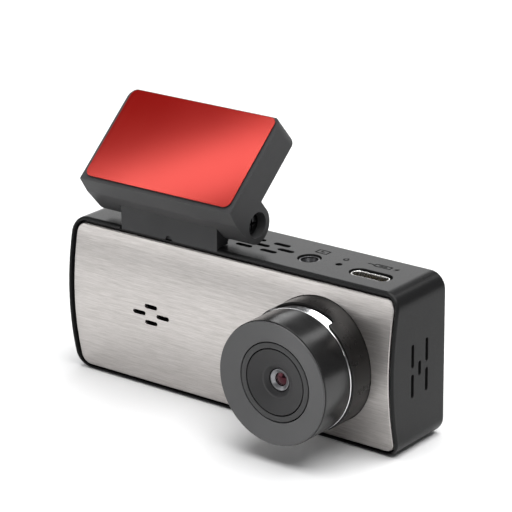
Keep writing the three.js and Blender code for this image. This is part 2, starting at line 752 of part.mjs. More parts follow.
function buttonBoard() {
  const back = COVER_FRONT - 2.2;
  const board = box(BUTTON_X - 3, BUTTON_X + 3, back - 0.8, back, 5, 30);
  const switches = BUTTON_HEIGHTS.map((z) =>
    box(BUTTON_X - 1.6, BUTTON_X + 1.6, back - 0.2, back + 0.5, z - 1.6, z + 1.6));
  return join(board, ...switches);
}

// ---------------------------------------------------------------- assembly
function place(group, name, finish, body) {
  const mesh = new THREE.Mesh(toGeometry(body), finish);
  mesh.name = name;
  group.add(mesh);
}

function addHousing(group) {
  place(group, 'front_shell', housingPlastic, frontShell());
  place(group, 'face_plate', brushedMetal, facePlate());
  place(group, 'rear_cover', housingPlastic, rearCover());
  place(group, 'screen_glass', screenBlack,
    alongY(centredRect(GLASS.x, MID, GLASS.w, GLASS.h, 1.3), DEPTH - 0.85, DEPTH - 0.05));
  BOSSES.forEach(([x, z], i) => place(group, `cover_screw_${i + 1}`, steel, housingScrew(x, z)));
}

function addLens(parent) {
  const group = new THREE.Group();
  group.position.set(LENS_X, 0, LENS_Z);
  parent.add(group);
  place(group, 'lens_collar', glossBlack, lensCollar());
  place(group, 'lens_barrel', chrome, lensBarrel());
  place(group, 'head_trim_ring', chrome, tube(HEAD_R + 0.05, 11.9, HEAD_BACK, HEAD_BACK + 0.35));
  place(group, 'head_shell', glossBlack, headShell());
  place(group, 'head_front_ring', headGrey, frontRing());
  place(group, 'head_inner_ring', headGrey, innerRing());
  place(group, 'lens_hood', hoodBlack, lensHood());
  place(group, 'lens_retainer', steel, tube(2.25, 1.85, HEAD_FRONT + 2.75, HEAD_FRONT + 3.75, SMALL_ROUND));
  place(group, 'front_lens', opticalGlass, domedLens(1.7, HEAD_FRONT + 2.95, 0.6, 1.6));
  place(group, 'lens_holder', chipBlack, lensHolder());
  place(group, 'middle_lens', opticalGlass, domedLens(3.9, -10.2, 1, 2.2));
  place(group, 'rear_lens', opticalGlass, domedLens(3.9, -5.6, 0.9, 2));
  place(group, 'infrared_filter', opticalGlass, disc(3.9, -2.6, -2.1, SMALL_ROUND));
  place(group, 'image_sensor', chipBlack, box(-3.9, 3.9, -1.2, -0.3, -3.1, 3.1));
  place(group, 'sensor_board', circuitGreen, box(-7.2, 7.2, -0.1, 0.9, -7.2, 7.2));
}

function addElectronics(group) {
  const front = BOARD_Y - 0.1;
  place(group, 'main_board', circuitGreen, mainBoard());
  place(group, 'processor', chipBlack, box(-6, 6, 6.6, front, 11, 23));
  place(group, 'thermal_pad', thermalGrey, box(-6, 6, 5.3, 6.5, 11, 23));
  place(group, 'heat_sink', aluminium, heatSink());
  place(group, 'memory_chip', chipBlack, box(-14, -8.6, 6.8, front, 20, 28));
  place(group, 'wireless_module', aluminium, box(-36, -24, 6.2, front, 11, 25));
  place(group, 'power_coil', rubber, box(29, 34.5, 4.9, front, 8, 13.5));
  place(group, 'supercapacitor', rubber, rodX(2.5, -34, -14, 5.2, 5.7));
  place(group, 'usb_shell', steel, usbShell());
  place(group, 'usb_tongue', chipBlack,
    box(USB.x - 3.35, USB.x + 3.35, USB.y - 0.35, USB.y + 0.35, 27.4, HEIGHT - 0.9));
  place(group, 'av_jack_body', chipBlack, jackBody());
  place(group, 'av_jack_collar', steel, jackCollar());
  place(group, 'reset_switch', chipBlack, box(20.7, 23.9, 5.9, front, 28, 30.9));
  place(group, 'reset_plunger', rubber, resetPlunger());
  place(group, 'speaker_mesh', foamBlack,
    alongY(centredRect(SPEAKER.x, SPEAKER.z, 12, 8, 1.5), 0.35, 0.6, 4));
  place(group, 'speaker_frame', chipBlack, speakerFrame());
  place(group, 'speaker_cone', rubber, speakerCone());
  place(group, 'card_socket', steel, cardSocket());
  place(group, 'memory_card', chipBlack, cardShape());
  place(group, 'sensor_ribbon', ribbonAmber,
    ribbon([[1.15, 17], [1.9, 14.5], [4.2, 12.6], [6.2, 11.4], [7.5, 9.6]], LENS_X - 4, LENS_X + 4));
}

function addScreen(group) {
  const { x, w, h } = SCREEN;
  const [x0, x1] = [x - w / 2 - 1, x + w / 2 + 1];
  const [z0, z1] = [MID - h / 2 - 0.7, MID + h / 2 + 0.7];
  const back = COVER_FRONT - 0.2;
  place(group, 'display_panel', screenBlack, box(x0, x1, back - 1.3, back, z0, z1));
  place(group, 'display_backlight', whitePlastic, box(x0, x1, back - 2.6, back - 1.4, z0, z1));
  place(group, 'display_ribbon', ribbonAmber,
    ribbon([[11.7, 24.4], [10.8, 21.5], [9.9, 18], [9.3, 15]], x - 8, x + 8));
  place(group, 'button_board', circuitGreen, buttonBoard());
  place(group, 'microphone', steel,
    box(-40.4, -37.8, back - 1.4, back - 0.1, MID - 1.4, MID + 1.4));
  BUTTON_HEIGHTS.forEach((z, i) => {
    place(group, `button_${i + 1}`, rubber, buttonCap(z));
  });
}

function addBracket(group) {
  place(group, 'mount_base', housingPlastic, mountBase());
  const arm = new THREE.Group();
  arm.position.set(MOUNT_X, HINGE_Y, HINGE_Z);
  arm.rotation.x = THREE.MathUtils.degToRad(ARM_TILT);
  group.add(arm);
  place(arm, 'mount_arm', housingPlastic, mountArm());
  place(arm, 'adhesive_foam', foamBlack, adhesiveLayer(0.05, 0.25));
  place(arm, 'release_film', redFilm, adhesiveLayer(0.28, 0.4));
  place(arm, 'hinge_screw_right', steel, hingeScrew(1));
  place(arm, 'hinge_screw_left', steel, hingeScrew(-1));
  place(arm, 'friction_washer_right', steel, frictionWasher(1));
  place(arm, 'friction_washer_left', steel, frictionWasher(-1));
}

const camera = new THREE.Group();
camera.position.y = -DEPTH / 2;
addHousing(camera);
addLens(camera);
addElectronics(camera);
addScreen(camera);
addBracket(camera);

const group = new THREE.Group();
group.add(camera);

export default group;
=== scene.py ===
"""Visual model of the dash camera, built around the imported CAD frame.
"""
import json
import math

import bmesh
import bpy
import numpy as np
from mathutils import Matrix, Vector


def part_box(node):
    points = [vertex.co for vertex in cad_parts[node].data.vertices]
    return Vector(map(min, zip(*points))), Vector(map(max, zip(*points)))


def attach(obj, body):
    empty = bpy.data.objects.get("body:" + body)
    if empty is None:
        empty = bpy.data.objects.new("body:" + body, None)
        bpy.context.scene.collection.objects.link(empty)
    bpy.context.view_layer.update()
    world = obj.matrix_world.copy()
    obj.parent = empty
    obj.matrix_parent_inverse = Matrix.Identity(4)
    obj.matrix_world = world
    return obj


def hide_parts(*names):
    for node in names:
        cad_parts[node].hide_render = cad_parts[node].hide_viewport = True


MM = 0.001
WELD = 1e-5  # mm: vertices closer than this are one vertex
OVERSHOOT = 0.4  # how far a cutter stands out of the surface that it cuts
LIP_SPREAD = 0.02  # and how much wider than its lip it is there
X, Y, Z = Vector((1, 0, 0)), Vector((0, 1, 0)), Vector((0, 0, 1))

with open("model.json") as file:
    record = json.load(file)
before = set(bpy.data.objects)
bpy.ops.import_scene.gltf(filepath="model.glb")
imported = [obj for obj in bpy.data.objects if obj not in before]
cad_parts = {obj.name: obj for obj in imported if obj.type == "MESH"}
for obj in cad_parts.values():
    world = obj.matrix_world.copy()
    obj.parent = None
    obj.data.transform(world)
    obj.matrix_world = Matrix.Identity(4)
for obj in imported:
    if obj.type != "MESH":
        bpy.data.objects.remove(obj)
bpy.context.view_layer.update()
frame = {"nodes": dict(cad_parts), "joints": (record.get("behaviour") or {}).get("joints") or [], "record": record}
record = frame["record"]
scene = bpy.context.scene


# ---------------- anchors from the frame
class Span:
    """A CAD node's box in mm."""

    def __init__(self, node):
        low, high = ([v / MM for v in corner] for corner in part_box(node))
        self.x0, self.y0, self.z0 = low
        self.x1, self.y1, self.z1 = high
        self.cx, self.cy, self.cz = ((a + b) / 2 for a, b in zip(low, high))
        self.dx, self.dy, self.dz = (b - a for a, b in zip(low, high))


def joint_point(name):
    joint = next(j for j in frame["joints"] if j["name"] == name)
    return Vector(joint["pos_m"]) / MM


HOUSING = Span("front_shell")
WIDTH = HOUSING.dx
HEIGHT = HOUSING.z1
MID = HEIGHT / 2
REAR = HOUSING.y1
RIM_Y = -REAR  # front rim plane; the frame's origin is half way to the rear
BULGE = RIM_Y - HOUSING.y0
LENS = joint_point("lens_turn")
HINGE = joint_point("mount_tilt")
FACE_RADIUS = (MID * MID + BULGE * BULGE) / (2 * BULGE)

CORNER = 3.6
# Widths left around the face pocket and the plate in it: side, top, bottom, then corner radius.
LIP = (0.75, 0.8, 0.4, 2.8)
PLATE = (1.25, 1.4, 0.75, 2.2)


def swell(z, offset):
    """Y of the swollen front at a height, moved back by an offset."""
    return RIM_Y + offset + FACE_RADIUS - BULGE - math.sqrt(FACE_RADIUS**2 - (z - MID) ** 2)


# ---------------- mesh building
def axes(origin, right, inward):
    """Local (across, inward, up) to the frame; up is right x inward."""
    up = right.cross(inward)
    m = Matrix.Identity(4)
    for i, v in enumerate((right, inward, up)):
        m.col[i][:3] = v
    m.col[3][:3] = origin
    return m


FRONT = axes((0, 0, 0), X, Y)


def new_object(name, vertices, faces):
    mesh = bpy.data.meshes.new(name)
    mesh.from_pydata([tuple(v) for v in vertices], [], faces)
    mesh.validate()
    bm = bmesh.new()
    bm.from_mesh(mesh)
    bmesh.ops.remove_doubles(bm, verts=bm.verts, dist=WELD)
    bmesh.ops.recalc_face_normals(bm, faces=bm.faces)
    if bm.calc_volume(signed=True) < 0:
        bmesh.ops.reverse_faces(bm, faces=bm.faces)
    bm.to_mesh(mesh)
    bm.free()
    obj = bpy.data.objects.new(name, mesh)
    scene.collection.objects.link(obj)
    return obj


def transformed(points, matrix):
    return [matrix @ Vector(p) for p in points]


def half_outline(width, height, radius, inset, corner, side):
    """Right half of a rounded rectangle about its centre, bottom to top."""
    w, h = width / 2 - inset, height / 2 - inset
    r = max(min(radius - inset, w - 1e-4, h - 1e-4), 0.02)
    turn = np.linspace(0, math.pi / 2, corner + 1)
    points = [(w - r + r * math.sin(t), -h + r - r * math.cos(t)) for t in turn]
    if h - r > 1e-3:
        points += [(w, z) for z in np.linspace(-h + r, h - r, side + 2)[1:-1]]
    points += [(w - r + r * math.cos(t), h - r + r * math.sin(t)) for t in turn]
    return points


def loft(name, size, rings, matrix=FRONT, centre=(0, 0), depth=None, corner=8, side=12):
    """Closed skin through rings of one rounded rectangle. Each ring is (inset, depth, curved)."""
    width, height, radius = size
    vertices, count = [], None
    for inset, d, *curved in rings:
        right = half_outline(width, height, radius, inset, corner, side)
        ring = right + [(-x, z) for x, z in reversed(right)]
        count = len(ring)
        for x, z in ring:
            a, b = centre[0] + x, centre[1] + z
            vertices.append((a, depth(b, d) if curved and curved[0] else d, b))
    faces = []
    for k in range(len(rings) - 1):
        for i in range(count):
            j = (i + 1) % count
            faces.append((k * count + i, k * count + j, (k + 1) * count + j, (k + 1) * count + i))
    half = count // 2
    for base in (0, (len(rings) - 1) * count):
        for i in range(half - 1):
            faces.append((base + i, base + i + 1, base + count - 2 - i, base + count - 1 - i))
    return new_object(name, transformed(vertices, matrix), faces)


def quarter(i0, d0, i1, d1, steps, curved=False, flip=False):
    """Rings along a quarter ellipse.

    It leaves the first point along the depth, or along the inset when flipped."""
    rings = []
    for t in np.linspace(0, math.pi / 2, steps + 1):
        s, c = (1 - math.cos(t), math.sin(t)) if not flip else (math.sin(t), 1 - math.cos(t))
        rings.append((i0 + (i1 - i0) * s, d0 + (d1 - d0) * c, curved))
    return rings


def rounded(points, steps=5):
    """A closed polygon of (a, b, radius) with each corner rounded by its own radius."""
    out = []
    n = len(points)
    for i, (a, b, radius) in enumerate(points):
        p = Vector((a, b))
        if radius <= 0:
            out.append(p)
            continue
        u = Vector(points[i - 1][:2]) - p
        v = Vector(points[(i + 1) % n][:2]) - p
        u.normalize()
        v.normalize()
        angle = u.angle(v)
        reach = radius / math.tan(angle / 2)
        centre = p + (u + v).normalized() * (radius / math.sin(angle / 2))
        start, end = p + u * reach - centre, p + v * reach - centre
        sweep = start.angle_signed(end)
        for k in range(steps + 1):
            t = -sweep * k / steps
            out.append(centre + Matrix.Rotation(t, 2) @ start)
    return [tuple(p) for p in out]


def lathe(name, profile, matrix, steps=120):
    """Piece turned about the local depth axis, from a closed profile of (radius, depth) pairs."""
    vertices, faces = [], []
    rows = []
    for r, d in profile:
        if r < 1e-6:
            rows.append([len(vertices)] * steps)
            vertices.append((0, d, 0))
            continue
        rows.append(list(range(len(vertices), len(vertices) + steps)))
        for k in range(steps):
            t = 2 * math.pi * k / steps
            vertices.append((r * math.cos(t), d, r * math.sin(t)))
    for a, b in zip(rows, rows[1:] + rows[:1]):
        if a[0] == a[-1] and b[0] == b[-1]:
            continue
        for k in range(steps):
            j = (k + 1) % steps
            face = list(dict.fromkeys((a[k], a[j], b[j], b[k])))
            if len(face) > 2:
                faces.append(face)
    return new_object(name, transformed(vertices, matrix), faces)


def prism(name, outline, d0, d1, matrix):
    """A flat outline of (across, up) points pushed from one depth to another."""
    n = len(outline)
    vertices = [(p[0], d0, p[1]) for p in outline] + [(p[0], d1, p[1]) for p in outline]
    faces = [tuple(range(n)), tuple(range(2 * n - 1, n - 1, -1))]
    faces += [(i, (i + 1) % n, n + (i + 1) % n, n + i) for i in range(n)]
    return new_object(name, transformed(vertices, matrix), faces)


def plug_tool(radius, d0, d1, matrix, steps=120):
    """Plain round cutter between two depths."""
    return lathe("tool", [(0, d0), (radius, d0), (radius, d1), (0, d1)], matrix, steps)


def block(name, x0, x1, y0, y1, z0, z1, matrix=FRONT):
    return prism(name, [(x0, z0), (x1, z0), (x1, z1), (x0, z1)], y0, y1, matrix)


def merged(objects, name="tools"):
    """Several separate closed pieces as one object."""
    bm = bmesh.new()
    for o in objects:
        bm.from_mesh(o.data)
        bpy.data.objects.remove(o)
    mesh = bpy.data.meshes.new(name)
    bm.to_mesh(mesh)
    bm.free()
    obj = bpy.data.objects.new(name, mesh)
    scene.collection.objects.link(obj)
    return obj


def boolean(target, tool, operation):
    m = target.modifiers.new("cut", "BOOLEAN")
    m.object, m.operation, m.solver = tool, operation, "MANIFOLD"
    bpy.context.view_layer.update()
    evaluated = target.evaluated_get(bpy.context.evaluated_depsgraph_get())
    mesh = bpy.data.meshes.new_from_object(evaluated)
    target.modifiers.clear()
    old, target.data = target.data, mesh
    mesh.name = target.name
    bpy.data.meshes.remove(old)
    bpy.data.objects.remove(tool)
    if not mesh.polygons:
        raise RuntimeError(f"{target.name}: the cut left nothing")


def carve(target, *tools):
    for tool in tools:
        boolean(target, tool, "DIFFERENCE")


def fuse(target, *tools):
    for tool in tools:
        boolean(target, tool, "UNION")
    return target


def slot_tool(length, width, deep, matrix, flare=0.12, radius=None, corner=6):
    """Cutter for a slot with softened lips. The local origin is on the surface."""
    size = (length, width, width / 2 - 0.005 if radius is None else radius)
    rings = [(0, deep), *quarter(0, flare, -flare, 0, 3), (-flare - LIP_SPREAD, -OVERSHOOT)]
    return loft("tool", size, rings, matrix, corner=corner, side=2)


def hole_tool(radius, deep, matrix, flare, steps=48):
    lips = [(radius - inset, d) for inset, d, _ in quarter(0, flare, -flare, 0, 3)]
    mouth = [(radius + flare + LIP_SPREAD, -OVERSHOOT), (0, -OVERSHOOT)]
    return lathe("tool", [(0, deep), (radius, deep), *lips, *mouth], matrix, steps)


WELD_M = 2e-7  # the same limit after the cuts, in metres
SLIVER_M = 1e-7


def finish(obj, body, node, slot, material, bevel=0.0, angle=32, segments=3):
    """Scales a piece to metres, shades it, and ties it to its body and its CAD node."""
    mesh = obj.data
    mesh.transform(Matrix.Scale(MM, 4))
    bm = bmesh.new()
    bm.from_mesh(mesh)
    bmesh.ops.remove_doubles(bm, verts=bm.verts, dist=WELD_M)
    bmesh.ops.dissolve_degenerate(bm, dist=SLIVER_M, edges=bm.edges)
    limit = math.radians(angle)
    for face in bm.faces:
        face.smooth = True
    for edge in bm.edges:
        edge.smooth = not (len(edge.link_faces) == 2 and edge.calc_face_angle(0) > limit)
    bm.to_mesh(mesh)
    bm.free()
    if bevel:
        m = obj.modifiers.new("edges", "BEVEL")
        m.width, m.segments, m.limit_method = bevel * MM, segments, "ANGLE"
        m.angle_limit = limit
        m.miter_outer = "MITER_ARC"
    w = obj.modifiers.new("normals", "WEIGHTED_NORMAL")
    w.keep_sharp, w.weight = True, 80
    mesh.materials.clear()
    mesh.materials.append(material)
    if node:
        obj.name = mesh.name = f"{node}_detailed"
        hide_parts(node)
    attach(obj, body)


# ---------------- materials
class Nodes:
    """A node-based material with its principled shader."""

    def __init__(self, name, **sockets):
        self.material = bpy.data.materials.new(name)
        self.material.use_nodes = True
        self.tree = self.material.node_tree
        self.shader = self.tree.nodes["Principled BSDF"]
        for key, value in sockets.items():
            self.shader.inputs[key.replace("_", " ")].default_value = value
        self.position = self.add("ShaderNodeTexCoord").outputs["Object"]

    def add(self, kind, **settings):
        node = self.tree.nodes.new(kind)
        for key, value in settings.items():
            setattr(node, key, value)
        return node

    def link(self, a, b):
        self.tree.links.new(a, b)

    def stretch(self, scale):
        node = self.add("ShaderNodeMapping")
        node.inputs["Scale"].default_value = scale
        self.link(self.position, node.inputs["Vector"])
        return node.outputs["Vector"]

    def noise(self, scale, detail=3.0, rough=0.5, vector=None, distortion=0.0):
        node = self.add("ShaderNodeTexNoise")
        node.inputs["Scale"].default_value = scale
        node.inputs["Detail"].default_value = detail
        node.inputs["Roughness"].default_value = rough
        node.inputs["Distortion"].default_value = distortion
        self.link(vector or self.position, node.inputs["Vector"])
        return node.outputs["Fac"]

    def spread(self, value, out_low, out_high, low=0.3, high=0.7):
        """Maps a value between two outputs; the default inputs are the ends that noise reaches."""
        node = self.add("ShaderNodeMapRange")
        ends = {"From Min": low, "From Max": high, "To Min": out_low, "To Max": out_high}
        for key, end in ends.items():
            node.inputs[key].default_value = end
        self.link(value, node.inputs["Value"])
        return node.outputs["Result"]

    def mix(self, factor, a, b):
        """Blend of two colours, each a tuple or a socket, by a factor socket."""
        node = self.add("ShaderNodeMix", data_type="RGBA")
        self.link(factor, node.inputs["Factor"])
        for socket, value in (("A", a), ("B", b)):
            target = next(s for s in node.inputs if s.name == socket and s.type == "RGBA")
            if hasattr(value, "default_value"):
                self.link(value, target)
            else:
                target.default_value = (*value, 1)
        return next(s for s in node.outputs if s.type == "RGBA")

    def math(self, operation, a, b):
        node = self.add("ShaderNodeMath", operation=operation)
        for i, value in enumerate((a, b)):
            if hasattr(value, "default_value"):
                self.link(value, node.inputs[i])
            else:
                node.inputs[i].default_value = value
        return node.outputs[0]

    def axis(self, name):
        node = self.add("ShaderNodeSeparateXYZ")
        self.link(self.position, node.inputs[0])
        return node.outputs[name]

    def bump(self, height, distance, strength=1.0):
        """Normal from a height; the distance is in mm."""
        node = self.add("ShaderNodeBump")
        node.inputs["Distance"].default_value = distance * MM
        node.inputs["Strength"].default_value = strength
        self.link(height, node.inputs["Height"])
        return node.outputs["Normal"]

    def color(self, socket):
        self.link(socket, self.shader.inputs["Base Color"])

    def set(self, name, socket):
        self.link(socket, self.shader.inputs[name])


GREY = (1, 1, 1)


def shaded(color, factor):
    """A colour made lighter or darker."""
    return tuple(min(c * factor, 1) for c in color)


def moulded(name, shade, roughness, grain, tint=(1, 1, 1.02), specular=0.5):
    """Moulded plastic: a fine even grain, faint flow marks in shade and gloss."""
    m = Nodes(name, Specular_IOR_Level=specular)
    flow = m.noise(60, 3, 0.6)
    fine = m.noise(5200, 2, 0.55)
    color = shaded(tint, shade)
    m.color(m.mix(m.spread(flow, 0, 1), shaded(color, 0.9), shaded(color, 1.1)))
    m.set("Roughness", m.spread(fine, roughness - 0.05, roughness + 0.05))
    m.set("Normal", m.bump(fine, grain))
    return m.material


def polished(name, color, roughness, specular=0.5):
    """Glossy plastic with the faintest haze and hairline scuffs."""
    m = Nodes(name, Specular_IOR_Level=specular)
    haze = m.noise(220, 4, 0.6)
    m.color(m.mix(haze, shaded(color, 0.85), shaded(color, 1.15)))
    m.set("Roughness", m.spread(haze, roughness * 0.85, roughness * 1.25))
    m.set("Normal", m.bump(m.noise(900, 2, 0.5), 0.0006))
    return m.material


def metal(name, color, roughness, grain, stretch=(1, 1, 1)):
    """Plain metal with fine marks, which a stretch draws out along one axis."""
    m = Nodes(name, Metallic=1.0)
    marks = m.noise(1800, 3, 0.6, m.stretch(stretch))
    m.color(m.mix(marks, shaded(color, 0.93), shaded(color, 1.05)))
    m.set("Roughness", m.spread(marks, roughness * 0.8, roughness * 1.2))
    m.set("Normal", m.bump(marks, grain))
    return m.material


def brushed_plate():
    """Aluminium brushed along its length: hairlines that start and stop, in a cloudy sheen."""
    m = Nodes("brushed_plate", Metallic=1.0, Anisotropic=0.7)
    fine = m.noise(1, 5, 0.7, m.stretch((260, 4000, 7500)))
    broad = m.noise(1, 3, 0.6, m.stretch((70, 1500, 2300)), 0.2)
    patches = m.noise(60, 2, 0.5)
    lines = m.math("ADD", m.math("MULTIPLY", fine, 0.75), m.math("MULTIPLY", broad, 0.25))
    shade = m.spread(lines, 0, 1, 0.36, 0.64)
    m.color(m.mix(shade, (0.39, 0.367, 0.352), (0.57, 0.547, 0.53)))
    m.set("Roughness", m.spread(patches, 0.30, 0.38))
    m.set("Normal", m.bump(lines, 0.006, 0.7))
    tangent = m.add("ShaderNodeTangent", direction_type="UV_MAP")
    m.link(tangent.outputs[0], m.shader.inputs["Tangent"])
    return m.material


def red_film():
    """Tinted release film: a deep red sheet with a soft metallic sheen."""
    m = Nodes("red_film", Metallic=0.35, Specular_IOR_Level=0.28, Specular_Tint=(1, 0.8, 0.66, 1))
    cloud = m.noise(50, 2, 0.5)
    m.color(m.mix(cloud, (0.235, 0.0022, 0.0013), (0.255, 0.0034, 0.002)))
    m.set("Roughness", m.spread(cloud, 0.09, 0.105))
    return m.material


def foam_tape():
    """Dark foam with its cells showing."""
    m = Nodes("foam_tape")
    cells = m.add("ShaderNodeTexVoronoi")
    cells.inputs["Scale"].default_value = 4200
    m.link(m.position, cells.inputs["Vector"])
    distance = cells.outputs["Distance"]
    m.color(m.mix(m.spread(distance, 0, 1, 0, 0.7), (0.006, 0.004, 0.004), (0.03, 0.012, 0.012)))
    m.set("Roughness", m.spread(m.noise(800), 0.75, 0.92))
    m.set("Normal", m.bump(distance, 0.05))
    return m.material


def lens_glass(name, tint, deep, specular):
    """Coated glass seen as a dark pool, with a tinted reflection."""
    coat = {"Coat_Weight": 0.25, "Coat_Roughness": 0.02}
    m = Nodes(name, IOR=1.6, Specular_Tint=(*tint, 1), Specular_IOR_Level=specular, **coat)
    m.color(m.mix(m.noise(300, 2), deep, shaded(deep, 1.6)))
    m.set("Roughness", m.spread(m.noise(600, 2), 0.03, 0.06))
    return m.material


def display_glass(active):
    """Black cover glass; the lit area behind it, given as a box in metres, is a shade lighter."""
    m = Nodes("display_glass", Coat_Weight=1.0, Coat_Roughness=0.02)
    inside = None
    for name, (low, high) in zip("XZ", active):
        value = m.axis(name)
        above, below = m.math("GREATER_THAN", value, low), m.math("LESS_THAN", value, high)
        band = m.math("MULTIPLY", above, below)
        inside = band if inside is None else m.math("MULTIPLY", inside, band)
    haze = m.noise(120, 3, 0.6)
    panel = m.mix(haze, (0.010, 0.011, 0.013), (0.014, 0.015, 0.018))
    m.color(m.mix(inside, (0.0025, 0.0025, 0.003), panel))
    m.set("Roughness", m.spread(haze, 0.04, 0.08))
    return m.material


def printed(name, shade, specular=0.4, roughness=0.45):
    """Printing ink."""
    m = Nodes(name, Specular_IOR_Level=specular)
    speck = m.noise(2600, 2)
    m.color(m.mix(speck, shaded(GREY, shade * 0.8), shaded(GREY, shade * 1.2)))
    m.set("Roughness", m.spread(speck, roughness - 0.05, roughness + 0.1))
    return m.material


def circuit():
    """Green solder mask with copper runs showing through it."""
    m = Nodes("circuit")
    runs = m.add("ShaderNodeTexBrick")
    runs.inputs["Scale"].default_value = 420
    runs.inputs["Mortar Size"].default_value = 0.09
    m.link(m.position, runs.inputs["Vector"])
    m.color(m.mix(runs.outputs["Fac"], (0.006, 0.075, 0.028), (0.02, 0.16, 0.05)))
    m.set("Roughness", m.spread(m.noise(500), 0.25, 0.4))
    m.set("Normal", m.bump(runs.outputs["Fac"], 0.02))
    return m.material


def woven(name, shade):
    """Fine cloth, woven in bands."""
    m = Nodes(name)
    weave = m.add("ShaderNodeTexWave", wave_type="BANDS")
    weave.inputs["Scale"].default_value = 1400
    weave.inputs["Distortion"].default_value = 1.2
    m.link(m.position, weave.inputs["Vector"])
    m.color(m.mix(weave.outputs["Fac"], shaded(GREY, shade * 0.5), shaded(GREY, shade * 1.4)))
    m.set("Roughness", m.spread(weave.outputs["Fac"], 0.7, 0.9, 0, 1))
    m.set("Normal", m.bump(weave.outputs["Fac"], 0.03))
    return m.material


SCREEN = Span("display_panel")
DARK_SIDE, DARK_END = 1.0, 0.7  # the edges of the panel that stay dark
housing_plastic = moulded("housing_plastic", 0.012, 0.31, 0.003, specular=0.13)
# The housing plastic made several times lighter for the foot and arm: painted light on faces that the lamps barely
# reach.
bracket_plastic_painted_light = moulded("bracket_plastic_painted_light", 0.044, 0.38, 0.003, specular=0.12)
gloss_black = polished("gloss_black", (0.0075, 0.0073, 0.0072), 0.22, 0.5)
collar_black = polished("collar_black", (0.009, 0.0082, 0.0078), 0.28, 0.3)
face_grey = moulded("face_grey", 0.060, 0.40, 0.002, specular=0.45)
# The lens face plastic made darker for the inner ring at the bottom of the dished face ring: painted shade.
face_grey_painted_shade = moulded("face_grey_painted_shade", 0.026, 0.42, 0.002, specular=0.42)
hood_black = moulded("hood_black", 0.017, 0.45, 0.0015, (1, 0.97, 1.02), 0.35)
keys_rubber = moulded("keys_rubber", 0.016, 0.6, 0.006)
chip_plastic = moulded("chip_plastic", 0.010, 0.5, 0.003)
white_plastic = moulded("white_plastic", 0.7, 0.4, 0.003, (1, 1, 0.98))
thermal_rubber = moulded("thermal_rubber", 0.3, 0.85, 0.01, (0.85, 1, 1.15))
chrome = metal("chrome", (0.80, 0.80, 0.81), 0.12, 0.0002)
barrel_chrome = metal("barrel_chrome", (0.92, 0.92, 0.93), 0.2, 0.0002)
bright_steel = metal("bright_steel", (0.42, 0.42, 0.43), 0.3, 0.001, (1, 1, 6))
black_steel = metal("black_steel", (0.035, 0.035, 0.037), 0.22, 0.0006)
satin_aluminium = metal("satin_aluminium", (0.62, 0.63, 0.65), 0.35, 0.002, (1, 8, 1))
port_metal = metal("port_metal", (0.80, 0.79, 0.77), 0.25, 0.0006)
contact_metal = metal("contact_metal", (0.85, 0.72, 0.48), 0.25, 0.0005)
retainer_metal = metal("retainer_metal", (0.24, 0.24, 0.25), 0.35, 0.0006)
jack_metal = metal("jack_metal", (0.11, 0.11, 0.115), 0.35, 0.0006)
plate_metal = brushed_plate()
film_red = red_film()
tape_foam = foam_tape()
front_glass = lens_glass("front_glass", (1, 0.1, 0.22), (0.006, 0.001, 0.002), 0.3)
inner_glass = lens_glass("inner_glass", (1, 0.3, 0.4), (0.02, 0.002, 0.004), 0.9)
screen_black = display_glass((
    ((SCREEN.x0 + DARK_SIDE) * MM, (SCREEN.x1 - DARK_SIDE) * MM),
    ((SCREEN.z0 + DARK_END) * MM, (SCREEN.z1 - DARK_END) * MM),
))
ink_dark = printed("ink_dark", 0.008, 0.04, 0.8)
ink_light = printed("ink_light", 0.45)
board_green = circuit()
polyimide = polished("polyimide", (0.45, 0.17, 0.02), 0.3)
mesh_cloth = woven("mesh_cloth", 0.012)


# ---------------- housing
SIZE = (WIDTH, HEIGHT, CORNER)
CENTRE = (HOUSING.cx, MID)
PLATE_OFFSET = 0.45  # the plate's face behind the swell
PLATE_THICK = 0.8
POCKET = PLATE_OFFSET + PLATE_THICK + 0.1
WALL, FRONT_WALL = 1.5, 1.2
CREST, CREST_DEPTH, BACK_EDGE = 0.42, 0.6, 0.75  # the rolled front rim and the rounded back edge
SEAT_INSET = 0.9
SEAT_DEPTH = 1.6
TOP = axes((0, 0, HOUSING.z1), X, -Z)  # local up is +Y
UNDER = axes((0, 0, HOUSING.z0), X, Z)  # local up is -Y
RIGHT = axes((HOUSING.x1, 0, 0), Y, -X)  # local up is +Z
LEFT = axes((HOUSING.x0, 0, 0), -Y, X)
BACK = axes((0, REAR, 0), -X, -Y)
LENS_FRAME = axes((LENS.x, RIM_Y, LENS.z), X, Y)
FOOT = Span("mount_base")
USB = Span("usb_shell")
JACK = Span("av_jack_collar")
RESET = Span("reset_plunger")
CARD = Span("memory_card")
SPEAKER = Span("speaker_frame")
COLLAR = Span("lens_collar")
COVER = Span("rear_cover")
GLASS = Span("screen_glass")
KEYS = [Span(f"button_{i}") for i in range(1, 5)]
FLANGE = 1.8  # the collar stands on a wider flange
COLLAR_R = COLLAR.dx / 2 - FLANGE
TONGUE = (RIM_Y + 2.35, RIM_Y + 3.65)  # the foot's tongue goes through a slit in the roof
FOOT_BACK, FOOT_LIP = RIM_Y + 1.3, FOOT.z0 + 5.25  # the foot's front laps down over the rim
GAP = 0.2  # room around the foot where it enters the shell
CUT, THROUGH = 3, 9  # depths that go clean through a wall, and the front
SHARP = 0.001  # the flare of a slot with no softened lips
UPRIGHT = Matrix.Rotation(math.pi / 2, 4, "Y")


def at(frame_axes, across, up):
    """The same axes with their origin moved over the surface."""
    return frame_axes @ Matrix.Translation((across, 0, up))


def face_outline(side, top, bottom, corner):
    """Size and centre of an outline on the face, from the widths left around its edges."""
    size = (WIDTH - 2 * side, HEIGHT - top - bottom, corner)
    return size, (HOUSING.cx, (HEIGHT - top + bottom) / 2)


def swollen(name, size, rings, centre=CENTRE, side=28):
    """A skin that is fine enough for the swollen front."""
    return loft(name, size, rings, FRONT, centre, swell, 12, side)


